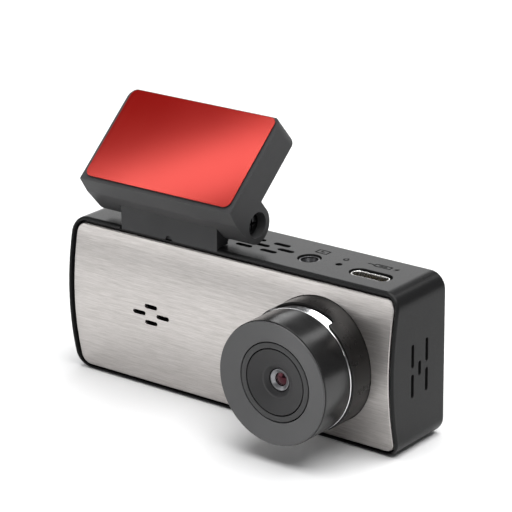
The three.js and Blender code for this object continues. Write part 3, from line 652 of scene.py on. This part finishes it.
def housing_skin():
    """The outer skin: a swollen front that rolls over a narrow crest, and a rounded back edge."""
    middle = 6  # inset of the flat that closes each end
    rings = [
        (middle, 0, True),
        (CREST + 0.08, 0, True),
        *quarter(CREST, 0, 0, CREST_DEPTH, 7, curved=True, flip=True),
        *quarter(0, REAR - BACK_EDGE, BACK_EDGE, REAR, 6),
        (middle, REAR),
    ]
    return swollen("housing", SIZE, rings)


def face_pocket():
    """Cutter for the recess that holds the plate, with an eased rim."""
    size, centre = face_outline(*LIP)
    wide = -0.24
    rings = [
        (wide, RIM_Y - 6), (wide, -0.06, True),
        (-0.06, 0.14, True), (0, 0.3, True), (0, POCKET, True),
    ]
    return swollen("tool", size, rings, centre)


def inside():
    """Cutter that hollows the shell."""
    return swollen("tool", SIZE, [(WALL, POCKET + FRONT_WALL, True), (WALL, REAR - 0.5)])


def cover_seat():
    """Cutter for the step that the rear cover sits in."""
    inset, lip = SEAT_INSET, SEAT_INSET - 0.08
    rings = [(inset, REAR - SEAT_DEPTH), (inset, REAR - 0.1), (lip, REAR + 0.01), (lip, REAR + 1)]
    return loft("tool", SIZE, rings, FRONT, CENTRE, corner=12, side=6)


# Rows of slots in the roof: distance behind the rim, x of the first one, how many.
ROOF_ROWS = ((5.55, -6.7, 3), (7.8, 2.4, 2), (10.2, -0.3, 2))
VENT = (4.0, 1.15)
VENT_PITCH = 6.3
FLOOR_SLOTS_X = (-24, -18, -12, -6)
SIDE_VENT = 0.9
SPEAKER_SLOTS = ((0, 1.8), (-3.2, 0), (3.2, 0), (0, -1.8))


def side_slot(length, y, z):
    return slot_tool(length, SIDE_VENT, CUT, at(RIGHT, RIM_Y + y, z) @ UPRIGHT, 0.08)


def vent_tools():
    roof = [
        slot_tool(*VENT, CUT, at(TOP, first + k * VENT_PITCH, RIM_Y + y))
        for y, first, count in ROOF_ROWS
        for k in range(count)
    ]
    floor = [slot_tool(4.4, VENT[1], CUT, at(UNDER, x, -(RIM_Y + 8))) for x in FLOOR_SLOTS_X]
    side = [side_slot(5.0, y, MID + e * 3.2) for y in (4.5, 9.5) for e in (-1, 1)]
    return [*roof, *floor, *side, side_slot(3.1, 7, MID)]


def speaker_tools():
    """Cutters for the four slots in front of the speaker."""
    face = axes((SPEAKER.cx, RIM_Y - BULGE - 1, SPEAKER.cz), X, Y)
    return [slot_tool(3.4, 0.95, 6, at(face, x, z), SHARP) for x, z in SPEAKER_SLOTS]


def port_tools():
    usb = slot_tool(USB.dx + 0.9, USB.dy + 1.0, CUT, at(TOP, USB.cx, USB.cy + 0.15), 0.1)
    jack = hole_tool(JACK.dx / 2 + 0.25, CUT, at(TOP, JACK.cx, JACK.cy), 0.1)
    reset = hole_tool(0.7, CUT, at(TOP, RESET.cx, RESET.cy), 0.08, 32)
    card = slot_tool(12, 1.5, CUT, at(LEFT, -CARD.cy, CARD.cz) @ UPRIGHT, 0.1, 0.3)
    return [usb, jack, reset, card]


def foot_tool(margin, y0, y1, z0):
    """Box cutter over the foot's width, wider by a margin on each side, out through the roof."""
    return block("tool", FOOT.x0 - margin, FOOT.x1 + margin, y0, y1, z0, HEIGHT + 1)


def make_housing():
    shell = housing_skin()
    carve(
        shell,
        face_pocket(),
        inside(),
        cover_seat(),
        merged(vent_tools()),
        merged(speaker_tools()),
        merged(port_tools()),
        plug_tool(COLLAR_R + 0.15, -THROUGH, THROUGH, LENS_FRAME),
        foot_tool(-3, TONGUE[0] - GAP, TONGUE[1] + GAP, HEIGHT - 6.5),
        foot_tool(GAP, RIM_Y - 2, FOOT_BACK + GAP, FOOT_LIP - 2 * GAP),
        finger_scoop(),
    )
    finish(shell, "camera", "front_shell", "housing_plastic", housing_plastic)


def finger_scoop():
    """The dished cut that lets a nail reach the card."""
    scoop = axes((HOUSING.x0 - 1.6, CARD.cy, CARD.cz), X, Z)
    profile = rounded([(0, -3.5, 0), (2.4, -3.5, 0.6), (2.4, 3.5, 0.6), (0, 3.5, 0)])
    return lathe("tool", profile, scoop, 64)


def make_plate():
    size, centre = face_outline(*PLATE)
    rings = [
        (0, PLATE_OFFSET + PLATE_THICK, True),
        (0, PLATE_OFFSET + 0.22, True),
        (0.05, PLATE_OFFSET + 0.14, True),
        (0.26, PLATE_OFFSET, True),
    ]
    plate = swollen("plate", size, rings, centre, 44)
    lens_hole = plug_tool(COLLAR_R + 0.12, -THROUGH, THROUGH, LENS_FRAME, 160)
    carve(plate, lens_hole, merged(speaker_tools()))
    layer = plate.data.uv_layers.new(name="along")
    for loop in plate.data.loops:
        co = plate.data.vertices[loop.vertex_index].co
        layer.data[loop.index].uv = (co.x / WIDTH, co.z / WIDTH)
    edges = {"bevel": 0.1, "angle": 50, "segments": 2}
    finish(plate, "camera", "face_plate", "brushed_face", plate_metal, **edges)


def make_cover():
    size = (COVER.dx, COVER.dz, CORNER - SEAT_INSET)
    rings = [(0, 1.5), *quarter(0, 0.25, 0.25, 0, 4)]
    cover = loft("cover", size, rings, BACK, (-COVER.cx, COVER.cz), corner=12, side=6)
    glass_size = (GLASS.dx + 0.3, GLASS.dz + 0.3)
    seat = slot_tool(*glass_size, 0.95, at(BACK, -GLASS.cx, GLASS.cz), 0.15, 1.4, 8)
    lit = (SCREEN.dx - 2 * DARK_SIDE, SCREEN.dz - 2 * DARK_END)
    window = slot_tool(*lit, CUT, at(BACK, -SCREEN.cx, SCREEN.cz), 0.1, 0.6)
    keys = [slot_tool(5.6, 4.2, CUT, at(BACK, -k.cx, k.cz), 0.15, 1.2) for k in KEYS]
    screws = [Span(f"cover_screw_{i}") for i in range(1, 5)]
    heads = [hole_tool(1.75, 0.8, at(BACK, -s.cx, s.cz), 0.12) for s in screws]
    bores = [hole_tool(0.95, CUT, at(BACK, -s.cx, s.cz), 0.01) for s in screws]
    microphone = Span("microphone")
    pinhole = hole_tool(0.5, CUT, at(BACK, -microphone.cx, microphone.cz), 0.1, 24)
    carve(cover, merged([seat, *keys, *heads, pinhole]), merged([window, *bores]))
    finish(cover, "camera", "rear_cover", "housing_plastic", housing_plastic)


def make_screen_glass():
    size = (GLASS.dx, GLASS.dz, 1.3)
    back = axes((0, GLASS.y1, 0), -X, -Y)
    rings = [(0.05, GLASS.dy), (0, GLASS.dy - 0.05), *quarter(0, 0.2, 0.2, 0, 4)]
    glass = loft("glass", size, rings, back, (-GLASS.cx, GLASS.cz), corner=10, side=4)
    finish(glass, "camera", "screen_glass", "screen_glass", screen_black)


def cross_tool(length, width, deep, matrix):
    """Tapered cross recess of a screw."""
    rings = [(0.4 * width, deep), (0, -0.2)]
    return fuse(*[
        loft("tool", (*sides, 0.05), rings, matrix, corner=2, side=1)
        for sides in ((length, width), (width, length))
    ])


def make_cover_screw(index):
    span = Span(f"cover_screw_{index}")
    top = axes((span.cx, span.y1, span.cz), -X, -Y)
    profile = rounded([
        (0, 0, 0), (1.2, 0, 0.5), (1.55, 0.25, 0.12), (1.55, 0.6, 0.05),
        (0.7, 0.6, 0.05), (0.7, 8.6, 0.1), (0, 8.6, 0),
    ])
    screw = lathe("screw", profile, top, 48)
    carve(screw, cross_tool(1.9, 0.36, 0.45, top))
    finish(screw, "camera", f"cover_screw_{index}", "steel", bright_steel)


# ---------------- lens
def turned_piece(name, points, body, slot, material, steps=160):
    """A lens-side piece from corner points (radius, depth, fillet radius)."""
    finish(lathe(name, rounded(points, 4), LENS_FRAME, steps), body, name, slot, material)


# Depths are measured back from the housing's front rim.
HEAD = Span("head_shell")
HEAD_R, HEAD_BORE = HEAD.dx / 2, 11.9
HEAD_FRONT = Span("head_front_ring").y0 - RIM_Y
HEAD_BACK = HEAD.y1 - RIM_Y
COLLAR_FRONT = COLLAR.y0 - RIM_Y
NOTCH_HALF, NOTCH_DEPTH = 7.2, 2.45
SKIRT_BORE, SKIRT_BACK = 12.95, -5.2  # the collar's front wall is thinner than the rest
BAND_R = 12.75  # bright band of the barrel, seen through the notches
BARREL = Span("lens_barrel")


def make_collar():
    bore, flange = COLLAR_R - 1.0, COLLAR_R + FLANGE
    points = [
        (bore, SKIRT_BACK, 0), (SKIRT_BORE, SKIRT_BACK, 0.05), (SKIRT_BORE, COLLAR_FRONT, 0.05),
        (COLLAR_R, COLLAR_FRONT, 0.22), (COLLAR_R, 2.7, 0),
        (flange, 2.7, 0.1), (flange, 3.5, 0.1), (bore, 3.5, 0.1),
    ]
    collar = lathe("collar", rounded(points, 4), LENS_FRAME, 200)
    notch = (2 * NOTCH_HALF, 2 * NOTCH_DEPTH, 1.0)
    for side in (1, -1):
        up = axes((LENS.x, COLLAR.y0, LENS.z), X, -Z * side)
        carve(collar, loft("tool", notch, [(0, -20), (0, -5)], up, corner=8, side=2))
    edges = {"bevel": 0.12, "angle": 40, "segments": 2}
    finish(collar, "camera", "lens_collar", "gloss_black_plastic", collar_black, **edges)


def make_barrel():
    bore, body, flange = 10.9, 12.1, 13.1
    band_front, band_back = HEAD_BACK + 0.6, HEAD_BACK + 3.1
    points = [
        (bore, band_front, 0.1), (BAND_R - 0.75, band_front, 0.05), (BAND_R, band_back, 0.1),
        (body, band_back, 0.05), (body, 3.6, 0),
        (flange, 3.6, 0.1), (flange, 4.2, 0.1), (bore, 4.2, 0.1),
    ]
    barrel = lathe("barrel", rounded(points, 3), LENS_FRAME, 160)
    low = BARREL.z0
    rings = [(0.15, low), (0, low + 0.15), (0, low + 2)]
    place = axes((LENS.x, RIM_Y - 6.5, 0), X, Z)
    fuse(barrel, loft("lug", (3, 1.8, 0.4), rings, place, corner=5, side=2))
    finish(barrel, "lens_head", "lens_barrel", "chrome_trim", barrel_chrome)


def make_head():
    body = "lens_head"
    f = HEAD_FRONT
    turned_piece("head_trim_ring", [
        (HEAD_BORE, HEAD_BACK + 0.2, 0.03), (HEAD_R + 0.05, HEAD_BACK + 0.2, 0.12),
        (HEAD_R + 0.05, HEAD_BACK + 0.55, 0.12), (HEAD_BORE, HEAD_BACK + 0.55, 0.03),
    ], body, "chrome_trim", chrome)
    turned_piece("head_shell", [
        (HEAD_R, HEAD_BACK, 0.08), (HEAD_R, f + 0.6, 0.1), (HEAD_R - 0.15, f + 0.5, 0.04),
        (HEAD_BORE, f + 0.5, 0.03), (HEAD_BORE, HEAD_BACK - 1.2, 0.1),
        (7.6, HEAD_BACK - 1.2, 0.1), (7.6, HEAD_BACK, 0.1),
    ], body, "gloss_black_plastic", gloss_black, 200)
    turned_piece("head_front_ring", [
        (HEAD_R - 0.17, f, 0.13), (HEAD_R - 0.17, f + 0.4, 0.04),
        (11.7, f + 0.4, 0), (11.7, f + 2, 0.05), (8.45, f + 2, 0.05), (8.45, f + 1.05, 0.14),
    ], body, "lens_face_plastic", face_grey, 200)
    turned_piece("head_inner_ring", [
        (8.25, f + 1.05, 0.12), (8.25, f + 2.4, 0.05), (7.1, f + 2.4, 0.05), (7.1, f + 1.08, 0.12),
    ], body, "lens_face_plastic", face_grey_painted_shade, 200)
    turned_piece("lens_hood", [
        (6.9, f + 1.1, 0.12), (6.9, f + 4.2, 0.05), (2.45, f + 4.2, 0.05), (2.45, f + 2.6, 0.12),
        (3.3, f + 1.95, 0.25), (3.75, f + 2.0, 0.3),
    ], body, "hood_plastic", hood_black, 160)
    turned_piece("lens_retainer", [
        (2.25, f + 2.75, 0.06), (2.25, f + 3.75, 0.03), (1.85, f + 3.75, 0.03),
        (1.85, f + 3.6, 0.02), (1.35, f + 3.2, 0.05), (2.1, f + 2.79, 0.05), (2.12, f + 2.75, 0.03),
    ], body, "steel", retainer_metal, 96)
    rim, crown, sagitta, back = 1.7, f + 2.95, 0.6, f + 4.55
    dome = [(rim * t, crown + sagitta * t * t) for t in np.linspace(0, 1, 13)]
    lens = lathe("front_lens", [*dome, (rim, back), (0, back)], LENS_FRAME, 72)
    finish(lens, body, "front_lens", "optical_glass", front_glass)


# ---------------- roof ports and back keys
def make_usb():
    top = axes((USB.cx, USB.cy, USB.z1), X, -Z)
    size = (USB.dx, USB.dy, USB.dy / 2 - 0.005)
    outside = [(0.1, USB.dz), (0, USB.dz - 0.1), *quarter(0, 0.12, 0.12, 0, 3)]
    bore = [(0.3, USB.dz - 0.9), *quarter(0.3, 0.14, 0.16, -0.01, 3), (0.16, -OVERSHOOT)]
    shell = loft("usb", size, outside, top, corner=14, side=2)
    carve(shell, loft("tool", size, bore, top, corner=14, side=2))
    finish(shell, "camera", "usb_shell", "steel", port_metal)
    tongue = Span("usb_tongue")
    ends = axes((tongue.cx, tongue.cy, tongue.z1), X, -Z)
    rings = [(0, tongue.dz), *quarter(0, 0.15, 0.15, 0, 3)]
    blade = loft("tongue", (tongue.dx, tongue.dy, 0.3), rings, ends, corner=6, side=1)
    finish(blade, "camera", "usb_tongue", "chip_plastic", chip_plastic)


def make_jack():
    top = axes((JACK.cx, JACK.cy, JACK.z1), X, -Z)
    outer, bore, mouth, deep = JACK.dx / 2, 1.4, 1.8, JACK.dz
    points = [
        (outer, 0, 0.1), (outer, deep, 0.03), (bore, deep, 0.03),
        (bore, 1.0, 0.1), (mouth, 0.35, 0.05), (mouth, 0, 0.08),
    ]
    ring = lathe("ring", rounded(points, 4), top, 72)
    finish(ring, "camera", "av_jack_collar", "steel", jack_metal)


def make_reset():
    top = axes((RESET.cx, RESET.cy, RESET.z1), X, -Z)
    stem, flange = 0.5, 1
    points = [
        (0, 0, 0), (stem, 0, 0.2), (stem, 1.1, 0), (flange, 1.1, 0.1),
        (flange, 2.2, 0.1), (stem, 2.2, 0), (stem, 3.1, 0.1), (0, 3.1, 0),
    ]
    pin = lathe("pin", rounded(points, 3), top, 32)
    finish(pin, "reset_button", "reset_plunger", "rubber", keys_rubber)


def make_key(index):
    span = KEYS[index - 1]
    back = axes((span.cx, span.y1, span.cz), -X, -Y)
    rings = [(0, 1.6), *quarter(0, 0.35, 0.35, 0.08, 5), (0.9, 0.045), (1.5, 0.03)]
    cap = loft("cap", (5.2, 3.8, 1.1), rings, back, corner=8, side=3)
    flange = loft("flange", (6.4, 5, 1.2), [(0, 2.6), (0, 1.85)], back, corner=6, side=2)
    fuse(cap, loft("neck", (5.0, 3.6, 1.0), [(0, 2.2), (0, 1.2)], back, corner=6, side=2), flange)
    finish(cap, f"key_{index}", f"button_{index}", "rubber", keys_rubber)


def make_card():
    """A card with a nick and a slanted corner in its inner end."""
    z0, z1, nick, thick = CARD.z0, CARD.z1, 1.3, 0.8
    outline = rounded([
        (0, z0, 0.5), (15, z0, 0.5), (15, z1 - nick, 0.4), (8, z1 - nick, 0.2),
        (7, z1 - 0.3, 0.1), (6, z1 - 0.3, 0.1), (5.4, z1, 0.1), (0, z1, 0.5),
    ], 4)
    card = prism("card", outline, -thick / 2, thick / 2, axes((CARD.x0, CARD.cy, 0), X, Y))
    finish(card, "card", "memory_card", "chip_plastic", chip_plastic, bevel=0.08, segments=2)


# ---------------- printed signs
def stroke(start, end, width=0.3):
    """Outline of a round-ended line."""
    a, b = Vector(start), Vector(end)
    heading = math.atan2(b.y - a.y, b.x - a.x)
    points = []
    for centre, turn in ((b, -math.pi / 2), (a, math.pi / 2)):
        for t in np.linspace(heading + turn, heading + turn + math.pi, 7):
            points.append((centre.x + width / 2 * math.cos(t), centre.y + width / 2 * math.sin(t)))
    return points


def arc_stroke(radius, start, end, width=0.3):
    """Outline of a bent line about the origin, its angles in degrees."""
    sweep = [math.radians(t) for t in np.linspace(start, end, 28)]
    sides = ((radius + width / 2, sweep), (radius - width / 2, sweep[::-1]))
    return [(r * math.cos(t), r * math.sin(t)) for r, angles in sides for t in angles]


def sign(name, body, outlines, place, ink, top=-0.02, bottom=0.03):
    """A printed sign: thin flat pieces that stand a little out of the surface at `place`."""
    pieces = [prism("piece", outline, top, bottom, place) for outline in outlines]
    finish(merged(pieces, name), body, None, None, ink)


def frame_outlines(w, h, width=0.28):
    """Four lines that close a rectangle of half width w and half height h without overlapping."""
    gap = width * 1.05
    return [
        stroke((-w + gap, h), (w - gap, h), width), stroke((-w + gap, -h), (w - gap, -h), width),
        stroke((-w, -h), (-w, h), width), stroke((w, -h), (w, h), width),
    ]


def make_roof_signs():
    plug = [*frame_outlines(1.9, 0.6), stroke((-0.9, 0), (0.9, 0)), stroke((-3.6, 0), (-2.3, 0))]
    bolt = [(3.6, 0.8), (2.75, -0.12), (3.3, -0.12), (3.0, -0.85), (3.9, 0.14), (3.35, 0.14)]
    sign("port_sign", "camera", [*plug, bolt], at(TOP, 30.4, RIM_Y + 11.5), ink_dark)
    play = [*frame_outlines(1.35, 0.85), [(-0.45, -0.42), (0.5, 0), (-0.45, 0.42)]]
    sign("video_sign", "camera", play, at(TOP, 15.4, RIM_Y + 11.6), ink_dark)
    arrow = [(0.28, 0.72), (0.28, 0.0), (0.82, 0.36)]
    place = at(TOP, 21.9, RIM_Y + 10.6) @ Matrix.Rotation(math.radians(-40), 4, "Y")
    sign("reset_sign", "camera", [arc_stroke(0.5, 75, 350), arrow], place, ink_dark)


def make_key_signs():
    power = [arc_stroke(0.75, 130, 410, 0.2), stroke((0, 0.35), (0, 1.05), 0.2)]
    up = [[(-0.85, -0.5), (0.85, -0.5), (0, 0.75)]]
    down = [[(-0.85, 0.5), (0, -0.75), (0.85, 0.5)]]
    menu = [stroke((-0.8, k), (0.8, k), 0.22) for k in (-0.6, 0, 0.6)]
    for index, outlines in enumerate((power, up, down, menu), 1):
        span = KEYS[index - 1]
        place = axes((span.cx, span.y1, span.cz), -X, -Y)
        sign(f"key_sign_{index}", f"key_{index}", outlines, place, ink_light, 0.01, 0.1)


def make_contacts():
    """The row of contacts on each side of the port's tongue."""
    tongue = Span("usb_tongue")
    pins = [
        block("pin", x - 0.13, x + 0.13, y - 0.05, y + 0.03, tongue.z0 + 1, tongue.z1 - 0.25)
        for x in np.linspace(tongue.x0 + 0.5, tongue.x1 - 0.5, 12)
        for y in (tongue.y0, tongue.y1 + 0.02)
    ]
    finish(merged(pins, "usb_contacts"), "camera", None, "steel", contact_metal)


# ---------------- bracket
def foot_outline():
    """Side view of the foot and its barrel, as (y, z)."""
    r = FOOT.z1 - HINGE.z
    front, heel, roof = RIM_Y + 0.2, RIM_Y + 3.8, HEIGHT + 0.12
    low = -(math.pi / 2 + math.asin((HINGE.y - heel) / r))
    sweep = np.linspace(math.pi, low, 72)
    arc = [(HINGE.y + r * math.cos(t), HINGE.z + r * math.sin(t)) for t in sweep]
    return [(front, FOOT_LIP), *arc, (heel, roof), (FOOT_BACK, roof), (FOOT_BACK, FOOT_LIP)]


SIDE = axes((0, 0, 0), Y, -X)  # across is +Y, up is +Z, depth runs along -X
SCREW_BORE, SCREW_SEAT = 1.6, 1.6  # radius of the hinge screws' bore, depth of their heads


def make_base():
    base = prism("base", foot_outline(), -FOOT.x1, -FOOT.x0, SIDE)
    fuse(base, block("tongue", FOOT.cx - 9.5, FOOT.cx + 9.5, *TONGUE, HEIGHT - 6, HEIGHT + 0.5))
    root, tip = RIM_Y + 3, RIM_Y + 4.4
    low, ledge = HEIGHT - 4, HEIGHT - 1.7
    hook = [(root, low), (TONGUE[1], low), (tip, HEIGHT - 2.8), (tip, ledge), (root, ledge)]
    for x in (FOOT.cx - 6, FOOT.cx + 6):
        fuse(base, prism("hook", hook, -(x + 2), -(x - 2), SIDE))
    for side in (1, -1):
        end = axes((FOOT.cx + side * (FOOT.x1 - FOOT.cx), HINGE.y, HINGE.z), Y * side, -X * side)
        carve(base, plug_tool(3.5, -1, 0.6, end, 64), plug_tool(SCREW_BORE, 0, 8.5, end, 40))
    carve(base, plug_tool(0.9, -1, 1, axes((FOOT.cx, RIM_Y, HEIGHT - 0.65), X, Y), 40))
    finish(base, "camera", "mount_base", "housing_plastic", bracket_plastic_painted_light, bevel=0.18, angle=35)


ARM_NORMAL = Vector(next(m for m in record["mounts"] if m["name"] == "adhesive_face")["axis"])
ARM_UP = Vector((0, ARM_NORMAL.z, -ARM_NORMAL.y))
ARM_SIDE = axes(HINGE, ARM_UP, -X)  # across is up the slope, up is out of the face
ARM_FACE, ARM_THICK = 9.7, 7.05
ARM_HEEL = -3.5
ARM_TOP = ARM_HEEL + 23.75
ARM_HALF = Span("mount_arm").dx / 2
KNUCKLE_R = 4.05
CLEVIS = 13.2  # half width of the gap between the knuckles


def arm_outline():
    """Side view of the arm about its hinge: (up the slope, out of the face)."""
    back = ARM_FACE - ARM_THICK
    sweep = np.linspace(math.pi, 2 * math.pi, 60)
    rest = rounded([
        (KNUCKLE_R, 0, 0), (KNUCKLE_R + 0.1, back, 0.3),
        (ARM_TOP, back, 1.7), (ARM_TOP, ARM_FACE, 0.4), (ARM_HEEL, ARM_FACE, 0),
        (-KNUCKLE_R - 0.1, ARM_FACE - 4, 2.5), (-KNUCKLE_R, 0, 0),
    ], 12)
    return [*((KNUCKLE_R * math.cos(t), KNUCKLE_R * math.sin(t)) for t in sweep), *rest[1:-1]]


def make_arm():
    arm = prism("arm", arm_outline(), -ARM_HALF, ARM_HALF, ARM_SIDE)
    w, low, corner = ARM_HALF, -8.0, 2.4
    plan = rounded([(-w, low, 0), (w, low, 0), (w, ARM_TOP, corner), (-w, ARM_TOP, corner)], 14)
    boolean(arm, prism("plan", plan, -14, 8, axes(HINGE, X, -ARM_NORMAL)), "INTERSECT")
    carve(
        arm,
        plug_tool(4.7, -CLEVIS, CLEVIS, ARM_SIDE, 96),
        prism("tool", [(-6, -6), (6, -6), (6, -0.5), (-6, -0.5)], -CLEVIS, CLEVIS, ARM_SIDE),
    )
    for side in (1, -1):
        end = axes(HINGE + X * side * ARM_HALF, Y * side, -X * side)
        recess = [(0, 3), (0, -1), (2.95, -1), (2.75, 0.12), (2.75, 3)]
        carve(arm, lathe("tool", recess, end, 64), plug_tool(SCREW_BORE, 0, 9, end, 40))
    edges = {"bevel": 0.3, "angle": 35, "segments": 4}
    finish(arm, "bracket_arm", "mount_arm", "housing_plastic", bracket_plastic_painted_light, **edges)


PAD_BOTTOM, PAD_TOP, PAD_SIDE, PAD_CORNER = ARM_HEEL + 0.9, ARM_TOP - 0.45, 0.9, 1.6
PAD_SIZE = (2 * (ARM_HALF - PAD_SIDE), PAD_TOP - PAD_BOTTOM, PAD_CORNER)
PAD_CENTRE = (0, (PAD_BOTTOM + PAD_TOP) / 2)


def pad_layer(name, low, high):
    """One sheet of the adhesive pad, between two heights above the hinge along the arm's normal."""
    face, edge = axes(HINGE + ARM_NORMAL * high, X, -ARM_NORMAL), 0.05
    lower = [(inset, high - low - d) for inset, d, _ in reversed(quarter(0, edge, edge, 0, 3))]
    rings = [*lower, *quarter(0, edge, edge, 0, 4)]
    return loft(name, PAD_SIZE, rings, face, PAD_CENTRE, corner=14, side=4)


FOAM = (ARM_FACE + 0.05, ARM_FACE + 0.25)
FILM = (ARM_FACE + 0.28, ARM_FACE + 0.4)


def make_pad():
    foam = pad_layer("foam", *FOAM)
    finish(foam, "bracket_arm", "adhesive_foam", "foam", tape_foam)
    film = pad_layer("film", *FILM)
    finish(film, "bracket_arm", "release_film", "film", film_red)


def make_hinge_screw(name, side):
    top = axes(HINGE + X * side * (ARM_HALF - SCREW_SEAT), Y * side, -X * side)
    head, stem = 2.4, 1.25
    points = [
        (0, 0, 0), (head, 0, 0.45), (head, 1.3, 0.05), (stem, 1.3, 0), (stem, 12, 0.2), (0, 12, 0),
    ]
    screw = lathe(name, rounded(points, 6), top, 64)
    carve(screw, cross_tool(3.0, 0.6, 0.75, top))
    finish(screw, "bracket_arm", name, "steel", black_steel)


# ---------------- build everything
make_housing()
make_plate()
make_cover()
make_screen_glass()
for number in range(1, 5):
    make_cover_screw(number)
    make_key(number)
make_collar()
make_barrel()
make_head()
make_usb()
make_jack()
make_reset()
make_card()
make_base()
make_arm()
make_pad()
make_hinge_screw("hinge_screw_right", 1)
make_hinge_screw("hinge_screw_left", -1)
make_roof_signs()
make_key_signs()
make_contacts()

# The CAD nodes that are shown as they are, under the material that each group gets.
CARRIED = {
    chip_plastic: "speaker_frame lens_holder image_sensor processor memory_chip power_coil"
                  " av_jack_body reset_switch",
    keys_rubber: "speaker_cone supercapacitor",
    mesh_cloth: "speaker_mesh",
    inner_glass: "middle_lens rear_lens infrared_filter",
    board_green: "sensor_board main_board button_board",
    thermal_rubber: "thermal_pad",
    satin_aluminium: "heat_sink wireless_module card_socket",
    polyimide: "sensor_ribbon display_ribbon",
    screen_black: "display_panel",
    white_plastic: "display_backlight",
    bright_steel: "microphone friction_washer_right friction_washer_left",
}
for material, nodes in CARRIED.items():
    for node in nodes.split():
        slots = frame["nodes"][node].data.materials
        slots.clear()
        slots.append(material)


# ---------------- stage
AIM = (0, 0, 0.025)
SHEEN = (-0.598, -0.212)
# Place, point faced, width and height, and power in W.
LIGHTS = {
    "overhead": ((0.14, 0.02, 0.8), AIM, (0.95, 0.9), 12.5),
    "backdrop": ((-0.62, 0.80, 0.30), AIM, (0.9, 0.56), 3.0),
    "rim": ((0.18, 0.68, 0.6), AIM, (0.16, 0.3), 0.4),
    "key": ((-0.65, -0.85, 0.30), AIM, (0.9, 0.5), 3.0),
    "fill": ((0.42, -0.92, 0.18), AIM, (0.08, 0.08), 0.55),
    "sheen": ((*SHEEN, 0.8), (*SHEEN, 0), (0.5, 0.03), 0.5),
}
SHEEN_TURN = 23  # degrees; the strip light lies along the film's bright band
FLOOR_HALF, FLOOR_DROP = 6.0, 0.0001
WORLD_COLOR, WORLD_STRENGTH = (0.94, 0.96, 1.0, 1), 0.13
# The camera fitted to the photo: degrees, metres, and mm for the lens.
AZIMUTH, ELEVATION, ROLL = 37.745, 19.703, -0.632
CAMERA_AT = (0.2934, -0.3782, 0.2033)
SENSOR, FOCAL_LENGTH = 36.0, 172.06


def area_light(name, place, aim, size, power):
    data = bpy.data.lights.new(name, "AREA")
    data.shape, data.size, data.size_y = "RECTANGLE", *size
    data.energy = power
    light = bpy.data.objects.new(name, data)
    light.location = place
    light.rotation_mode = "QUATERNION"
    light.rotation_quaternion = (Vector(aim) - Vector(place)).to_track_quat("-Z", "Y")
    scene.collection.objects.link(light)
    return light


def make_floor():
    mesh = bpy.data.meshes.new("floor")
    h = FLOOR_HALF
    mesh.from_pydata([(-h, -h, 0), (h, -h, 0), (h, h, 0), (-h, h, 0)], [], [(0, 1, 2, 3)])
    floor = bpy.data.objects.new("floor", mesh)
    floor.location.z = -FLOOR_DROP
    scene.collection.objects.link(floor)
    paper = Nodes("paper", Specular_IOR_Level=0.2)
    paper.color(paper.mix(paper.noise(3, 2), shaded(GREY, 0.84), shaded(GREY, 0.88)))
    paper.set("Roughness", paper.spread(paper.noise(40), 0.8, 0.95))
    mesh.materials.append(paper.material)


def make_lights():
    world = bpy.data.worlds.new("studio")
    world.use_nodes = True
    background = world.node_tree.nodes["Background"].inputs
    background["Color"].default_value = WORLD_COLOR
    background["Strength"].default_value = WORLD_STRENGTH
    scene.world = world
    scene.view_settings.view_transform = "Standard"
    lights = {name: area_light(name, *row) for name, row in LIGHTS.items()}
    lights["sheen"].rotation_mode = "XYZ"
    lights["sheen"].rotation_euler = (0, 0, math.radians(SHEEN_TURN))


def make_camera():
    azimuth, elevation, roll = (math.radians(a) for a in (AZIMUTH, ELEVATION, ROLL))
    level = math.cos(elevation)
    back = Vector((math.sin(azimuth) * level, -math.cos(azimuth) * level, math.sin(elevation)))
    right = (-back).cross(Z).normalized()
    up = back.cross(right)
    c, s = math.cos(roll), math.sin(roll)
    right, up = c * right + s * up, -s * right + c * up
    data = bpy.data.cameras.new("camera")
    data.sensor_width, data.lens = SENSOR, FOCAL_LENGTH
    data.clip_start, data.clip_end = 0.01, 50
    camera = bpy.data.objects.new("camera", data)
    turn = Matrix((right, up, back)).transposed()
    camera.matrix_world = Matrix.Translation(CAMERA_AT) @ turn.to_4x4()
    scene.collection.objects.link(camera)
    scene.camera = camera


make_floor()
make_lights()
make_camera()
